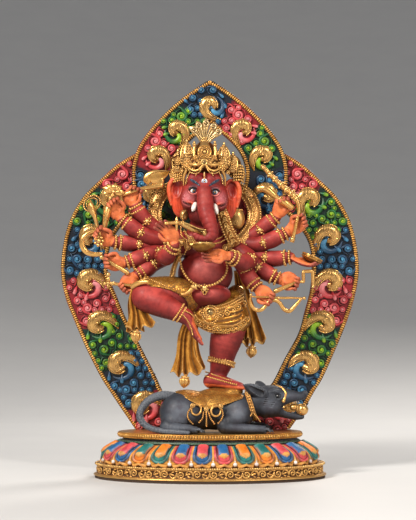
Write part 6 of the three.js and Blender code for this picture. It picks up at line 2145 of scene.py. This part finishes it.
def build_right_attributes():
    """What the hands at the viewer's left hold, and the curved knife."""
    kit = Kit()
    kit.tube([(-76, -14, 241.4), (-68, -15.5, 244), (-60, -14.5, 246.6), (-50, -13, 248.6),
        (-42, -12, 250.4)], (1.5, 1.6, 1.7, 2.2, 3.0), GOLD, thin=0.8)
    kit.stud((-77, -14, 241.2), 2.1)
    kit.tube([(-55.4, -12, 252.6), (-52.4, -12, 256.4), (-46, -12, 257.6), (-40, -12, 259.6),
        (-34.4, -12, 262.6)], (2.6, 5.2, 6.4, 3.6, 0.4), GOLD, thin=0.28, sides=14, samples=30)
    kit.tube([(-44, -12, 251), (-43, -12, 254.6), (-44.4, -12, 258)], (3.4, 3.6, 2.6), GOLD * 0.9,
        thin=0.4, sides=12)
    kit.tube([(-54.6, -13.2, 254.2), (-52, -13.6, 259.4), (-45, -13.6, 262.4), (-36, -13, 262.4)],
        (0.4, 0.6, 0.6, 0.3), GOLD_PALE, sides=6)
    kit.piece("axe_visual", SMOOTH_GILT, 3, node="axe")

    kit = Kit()
    lotus_star(kit, (-82.6, 244), [(-92.4, 248), (-88.4, 250.6), (-80.6, 252), (-72.6, 243), (-76, 249)],
        -15.5, 3.6)
    kit.tube([(-82.6, -16, 244), (-85, -17.4, 238), (-87, -18, 233)], (1.2, 1.5, 1.2), GOLD)
    knob(kit, (-85.4, -17.8, 238.4), (-0.4, 0, -1), 1.7)
    kit.piece("vajra_visual", SMOOTH_GILT, 3, node="vajra")

    kit = Kit()
    blade(kit, [(-97.4, 212.6), (-100.4, 222), (-105.6, 229.6), (-104.4, 235), (-102.4, 237.6),
        (-99.2, 232.4), (-97.2, 225), (-95, 213)], -15.5, 1.3, GOLD, 1.6,
        [(-97, 216), (-99, 223), (-101.6, 231)])
    blade(kit, [(-92.4, 211.4), (-91.6, 222), (-91.4, 231), (-87.4, 233), (-83.6, 231), (-86, 222),
        (-88.6, 212)], -17.6, 1.4, GOLD, 1.8, [(-90.4, 214), (-89, 222), (-87.4, 230)])
    kit.tube([(-96.4, -17, 214), (-99, -17.2, 223), (-102, -16.8, 233)], (0.4, 0.6, 0.3), GOLD_PALE, sides=6)
    kit.tube([(-90.4, -19.2, 213), (-89, -19.4, 222), (-87.6, -19.2, 230)], (0.5, 0.8, 0.5), GOLD_PALE,
        sides=6)
    for reach, size in ((6.2, 0.95), (4.2, 0.7)):
        kit.ring((-101.5, -12.6, 234.5), (0.1, -1, 0), (reach, reach * 1.25), size, GOLD, beads=size)
    knob(kit, (-94.6, -16.4, 208.4), (0, 0, 1), 1.9)
    kit.tube([(-95.6, -15.6, 212), (-94, -16, 205)], (1.5, 1.3), GOLD)
    kit.piece("sword_visual", SMOOTH_GILT, 3, node="sword")

    kit = Kit()
    noose = smooth_path([(-98.6, -15, 210.2), (-102.6, -15, 209.4), (-107, -15.4, 206.4),
        (-109.6, -15.6, 201.6), (-108.6, -15.6, 196), (-104.6, -15.6, 191.8), (-99, -15.6, 190.4),
        (-93.6, -15.8, 190.4)], 60)
    kit.tube(noose, 1.9 + 0.5 * np.sin(np.linspace(0, math.pi, 60)), GOLD, raw=True, sides=14)
    for shift in (-2.1, 2.1):
        kit.bead_string(noose[22:] + (shift * 0.5, -0.9, shift * 0.5), 0.8, GOLD_PALE)
    for angle in round_angles(7):
        kit.stud((-94.8 + 3.4 * math.cos(angle), -18.4, 201.6 + 3.6 * math.sin(angle)), 1.5, GOLD, sides=10)
    kit.stud((-94.8, -19.2, 201.6), 2.1)
    kit.piece("goad_visual", SMOOTH_GILT, 3, node="goad")

    kit = Kit()
    kit.tube([(-92, -19, 187.4), (-84, -19.4, 182.6), (-76, -18.6, 178), (-71, -18, 174.8)],
        (1.5, 1.7, 1.9, 2.1), GOLD)
    kit.stud((-92.4, -19, 187.6), 1.9, sides=10)
    kit.stud((-70.4, -18, 174.4), (1.7, 1.7, 2.1), sides=10)
    kit.piece("arrow_visual", SMOOTH_GILT, 3, node="arrow_rod")

    kit = Kit()
    kit.tube([(-85.6, -19, 165.6), (-76, -19.4, 164.4), (-66, -19, 163.8), (-60, -18.6, 165.4),
        (-54.6, -18.4, 168.6)], (1.3, 1.5, 1.7, 1.9, 1.9), GOLD)
    for shift in (-1.1, 1.1):
        kit.tube([(-62, -20.0, 164.6 + shift), (-56, -19.8, 167.6 + shift), (-54, -19.4, 168.6 + shift),
            (-50.4, -18.6, 163.4 + shift)], (0.6, 0.8, 0.9, 0.6), GOLD_PALE, sides=7)
    knob(kit, (-83, -19.2, 165.2), (1, 0, 0), 1.9)
    lotus_star(kit, (-86.4, 165.4), [(-86.6, 171.6), (-91.6, 165), (-86.8, 160.8)], -19, 1.5)
    kit.stud((-86.6, -19.6, 172.8), 2.0, sides=10)
    kit.piece("bent_rod_visual", SMOOTH_GILT, 3, node="bent_rod")

    kit = Kit()
    knife = [(-24.4, 215.6), (-19, 214.4), (-13, 211.4), (-7.6, 209.4), (-3.4, 208.8), (-2.2, 205.4),
        (-3.8, 201.6), (-6.4, 204.4), (-10.6, 206), (-16, 207.4), (-21.4, 210.2), (-25.6, 213.2)]
    blade(kit, knife, -48.6, 1.5, BRONZE, 1.2, [(-20, 212.4), (-13, 209), (-6, 206.8)])
    kit.tube([(-24, -49.6, 215.4), (-17, -49.8, 213), (-10, -49.8, 209.8), (-3.6, -49.6, 208.4)], 0.6,
        GOLD_PALE, sides=6)
    kit.tube([(-36.4, -47.6, 214.2), (-30, -48, 214.6), (-24, -48.4, 214.2)], (1.4, 1.5, 1.9), GOLD)
    kit.tube([(-27.6, -48.6, 219.2), (-27.8, -49, 214.8), (-27.6, -48.8, 208.6)], (0.8, 1.4, 0.9), GOLD)
    knob(kit, (-27.7, -49.4, 214.6), (1, 0, 0), 1.8)
    knob(kit, (-36.4, -47.6, 214.2), (1, 0, 0), 1.5)
    kit.piece("knife_visual", SMOOTH_GILT, 3, node="curved_knife")


def build_skull_bowl():
    """The skull bowl with its lip."""
    clay = Clay((-20, -62, 186), (10, -38, 202))
    clay.ball((-5.4, -50.4, 196), (7.8, 7.2, 7), 1)
    clay.ball((-11, -50.4, 195), (4.2, 3.6, 3.4), 3, turn=(0, 24, 0))
    clay.ball((1.4, -50.4, 196), (3.2, 3.4, 2.6), 3)
    z = clay.low[2] + np.arange(clay.size[2]) * clay.voxel
    clay.field = np.maximum(clay.field, (z - 197.2).astype(np.float32))
    clay.ball((-5.4, -50.4, 198), (6.3, 5.8, 5.2), 0.6, cut=True)
    tint = painted(BRONZE, ((-5.4, -50, 198), (8.5, 7, 3), srgb(120, 20, 24), 0.9))
    clay.piece("skull_bowl_visual", tint, SMOOTH_GILT, node="skull_bowl")
    kit = Kit()
    lip = [(-5.4 + 7.8 * math.cos(turn), -50.4 + 7.2 * math.sin(turn), 197.4) for turn in np.linspace(0,
        2 * math.pi, 40)]
    kit.tube(lip, 0.6, GOLD_PALE, side=(0, 0, 1), raw=True, sides=7)
    kit.tube([(-12.4, -50.6, 197.4), (-15.4, -50.6, 196.2), (-17.0, -50.4, 197.6)], (1.5, 1.1, 0.3), GOLD)
    kit.piece("skull_bowl_lip", SMOOTH_GILT, 2)


def build_left_attributes():
    """What the hands at the viewer's right hold."""
    kit = Kit()
    kit.tube([(43.6, -12, 247.6), (48, -13, 247.2), (55, -15, 241.4), (60, -17, 236), (66, -17.4, 233.2)],
        (3.2, 3.7, 2.6, 2.2, 2.6), GOLD, samples=30, sides=14)
    kit.tube([(60.6, -18, 237.4), (65.6, -18.4, 233.6), (69.8, -18, 230.6)], (2.4, 2.9, 2.5), GOLD, sides=14)
    kit.ring((59.4, -17, 238.0), (1, 0, -0.7), 2.9, 0.5, GOLD_PALE)
    kit.beads((42.0, -12, 247.4), (2.6, 3.0, 3.0), GOLD_PALE, sides=14, rings=10)
    kit.piece("club_visual", SMOOTH_GILT, 3, node="club")

    kit = Kit()
    line = smooth_path([(46.4, -9, 266, 1.9), (52.5, -10, 259.4, 2.0), (59, -11.5, 252.6, 2.2),
        (66, -13, 246, 2.4), (72, -15, 240.8, 2.8), (75.4, -17, 234.4, 2.0), (76.0, -18, 226.6, 1.5),
        (74.2, -18.6, 218, 1.4), (72.4, -18.4, 210, 1.5), (70.6, -18, 203, 1.6)], 70)
    kit.tube(line[:, :3], line[:, 3], GOLD, raw=True, sides=12)
    for place, size in ((0, 2.3), (7, 2.7), (12, 2.4), (18, 3.0), (23, 2.6), (28, 3.4), (32, 3.0),
            (35, 2.5), (52, 1.8), (69, 2.3)):
        spot = line[place, :3]
        axis = line[min(place + 1, 69), :3] - line[max(place - 1, 0), :3]
        knob(kit, spot, axis, size, GOLD_PALE if place % 2 else GOLD)
        if 6 < place < 40:
            first = unit(np.cross(axis, (0.1, 1, 0)))
            second = unit(np.cross(axis, first))
            for angle in round_angles(5):
                kit.beads(spot + (first * math.cos(angle) + second * math.sin(angle)) * size * 1.05,
                    size * 0.32, GOLD_PALE)
    kit.piece("staff_visual", SMOOTH_GILT, 3, node="staff")

    clay = Clay((74, -28, 176), (101, -4, 199))
    clay.ball((87.2, -16, 187.4), (9.2, 8.4, 4.6), 1, turn=(0, 24, 0))
    clay.ball((88.4, -16, 190.4), (9.4, 7.6, 3.6), 0.8, turn=(0, 24, 0), cut=True)
    clay.piece("bowl_visual", painted(BRONZE * 1.1), SMOOTH_GILT, node="bowl")
    kit = Kit()
    tilt = math.radians(24)
    for reach, lift, size in ((9.0, 0.9, 0.65), (8.9, -1.2, 0.4)):
        ring_path = [(87.2 + reach * math.cos(turn) * math.cos(tilt) + lift * math.sin(tilt),
            -16 + 8.2 * math.sin(turn), 187.6 - reach * math.cos(turn) * math.sin(tilt) + lift
            * math.cos(tilt)) for turn in np.linspace(0, 2 * math.pi, 44)]
        kit.tube(ring_path, size, GOLD, side=(0.4, 0, 0.9), raw=True, sides=7)
    kit.piece("bowl_rim", SMOOTH_GILT, 2)

    kit = Kit()
    kit.tube([(56.4, -18.6, 159), (62, -19, 161.4), (69, -19, 164.4), (75.4, -18.6, 167)],
        (2.1, 1.8, 1.6, 1.5), GOLD)
    kit.stud((55.8, -18.6, 158.8), 2.2)
    for corner, following in (((79.8, 167), (79.6, 175.2)), ((79.6, 175.6), (87.2, 176)),
            ((87.6, 176), (88.0, 163.4))):
        start, end = np.array((corner[0], -17.6, corner[1])), np.array((following[0], -17.6, following[1]))
        kit.tube([start, (start + end) / 2, end], (1.4, 1.6, 1.4), GOLD)
    kit.tube([(75, -18.4, 167), (79.8, -17.8, 166.6)], (1.3, 1.1), GOLD)
    kit.stud((88.0, -17.6, 162.6), 1.5, sides=10)
    kit.piece("hook_visual", SMOOTH_GILT, 3, node="hook_rod")

    kit = Kit()
    stave = [(34.6, -25, 155), (34.0, -25, 149.6), (36.4, -25, 144.6), (40.4, -25, 142.2),
        (45, -25, 143.8), (49, -25, 149), (54, -25.4, 151), (58.6, -25, 149), (62.6, -25, 143.4),
        (67.4, -25, 141.8), (72.8, -25, 147), (77.4, -25, 152.4)]
    kit.tube(stave, (0.9, 1.4, 1.6, 1.7, 1.7, 1.6, 1.7, 1.7, 1.8, 1.8, 1.5, 0.9), GOLD, sides=12, samples=70)
    kit.tube([(36, -25.4, 153.8), (46, -25.6, 153.6), (58, -25.6, 152.8), (68, -25.4, 152.8),
        (79.6, -25, 152.6)], (0.7, 0.8, 1.1, 1.0, 0.7), GOLD)
    for spot in ((54, -25.4, 151), (58, -25.6, 152.8), (79.8, -25, 152.6), (34.6, -25, 155.4)):
        kit.stud(spot, 1.5, sides=10)
    kit.piece("bow_visual", SMOOTH_GILT, 3, node="bow")


def build_arms():
    """The twelve arms, numbered from the innermost at each side."""
    for label, arms in (("right", RIGHT_ARMS), ("left", LEFT_ARMS)):
        for number, (path, palm, tip, facing, curl, thumb) in enumerate(arms, 1):
            build_arm(f"arm_{label}_{number}", path, palm, tip, facing, curl, thumb)


build_arms()
build_right_attributes()
build_skull_bowl()
build_left_attributes()


# ---------------------------------------------------------------- floor, lights and camera

def build_stage():
    """A plain pale floor that curves up all round, soft lights and the camera."""
    around = 96
    flat_reach, bend_radius = 0.8, 3.0
    bend = np.linspace(0, 1.35, 40)
    reach = np.concatenate([[0.02, flat_reach / 2], flat_reach + bend_radius * np.sin(bend)])
    height = np.concatenate([[0.0, 0.0], bend_radius * (1 - np.cos(bend))])
    turn = np.arange(around) / around * 2 * np.pi
    points = np.stack([reach[:, None] * np.cos(turn), reach[:, None] * np.sin(turn),
                       np.tile(height[:, None], around)], 2).reshape(-1, 3)
    index = np.arange(len(reach) * around).reshape(len(reach), around)
    onward = np.roll(index, -1, axis=1)
    quads = np.stack([index[:-1], index[1:], onward[1:], onward[:-1]], 2).reshape(-1, 4)
    middle = np.column_stack([np.full(around, len(points)), index[0], onward[0]])
    points = np.vstack([points, [0.0, 0.0, 0.0]])
    mesh = make_mesh("floor", points / MM, [quads, middle], np.full((len(points), 3), 0.6))
    floor = bpy.data.objects.new("floor", mesh)
    bpy.context.scene.collection.objects.link(floor)
    tree = Tree("floor_paint")
    grain = tree.noise(60.0, 4.0)
    tree.set(Base_Color=tree.mix(grain, (0.60, 0.60, 0.61), (0.66, 0.66, 0.66)), Roughness=0.75)
    mesh.materials.append(tree.material)

    world = bpy.data.worlds.new("studio")
    bpy.context.scene.world = world
    world.use_nodes = True
    world.node_tree.nodes["Background"].inputs[0].default_value = (0.75, 0.78, 0.82, 1)
    world.node_tree.nodes["Background"].inputs[1].default_value = 0.24
    for name, place, size, power in (("key", (-0.8, -1.0, 1.1), 0.32, 27),
            ("fill", (1.1, -1.0, 0.5), 0.8, 4.5), ("glint", (0.55, -0.95, 0.95), 0.16, 6),
            ("rim", (0.5, 0.9, 1.0), 0.5, 12)):
        light = bpy.data.lights.new(name, "AREA")
        light.size = size
        light.energy = power
        light.color = (1.0, 0.94, 0.86)
        lamp = bpy.data.objects.new(name, light)
        lamp.location = place
        aim = Vector((0, 0, 0.18)) - Vector(place)
        lamp.rotation_euler = aim.to_track_quat("-Z", "Y").to_euler()
        bpy.context.scene.collection.objects.link(lamp)

    camera = bpy.data.objects.new("camera", bpy.data.cameras.new("camera"))
    camera.data.lens = 87.9
    camera.data.sensor_width = 36
    camera.location = (-0.0017, -1.1, 0.12)
    camera.rotation_euler = (math.radians(93.46), 0, 0)
    bpy.context.scene.collection.objects.link(camera)
    bpy.context.scene.camera = camera
    bpy.context.scene.view_settings.view_transform = "Standard"


build_stage()

bpy.context.view_layer.update()
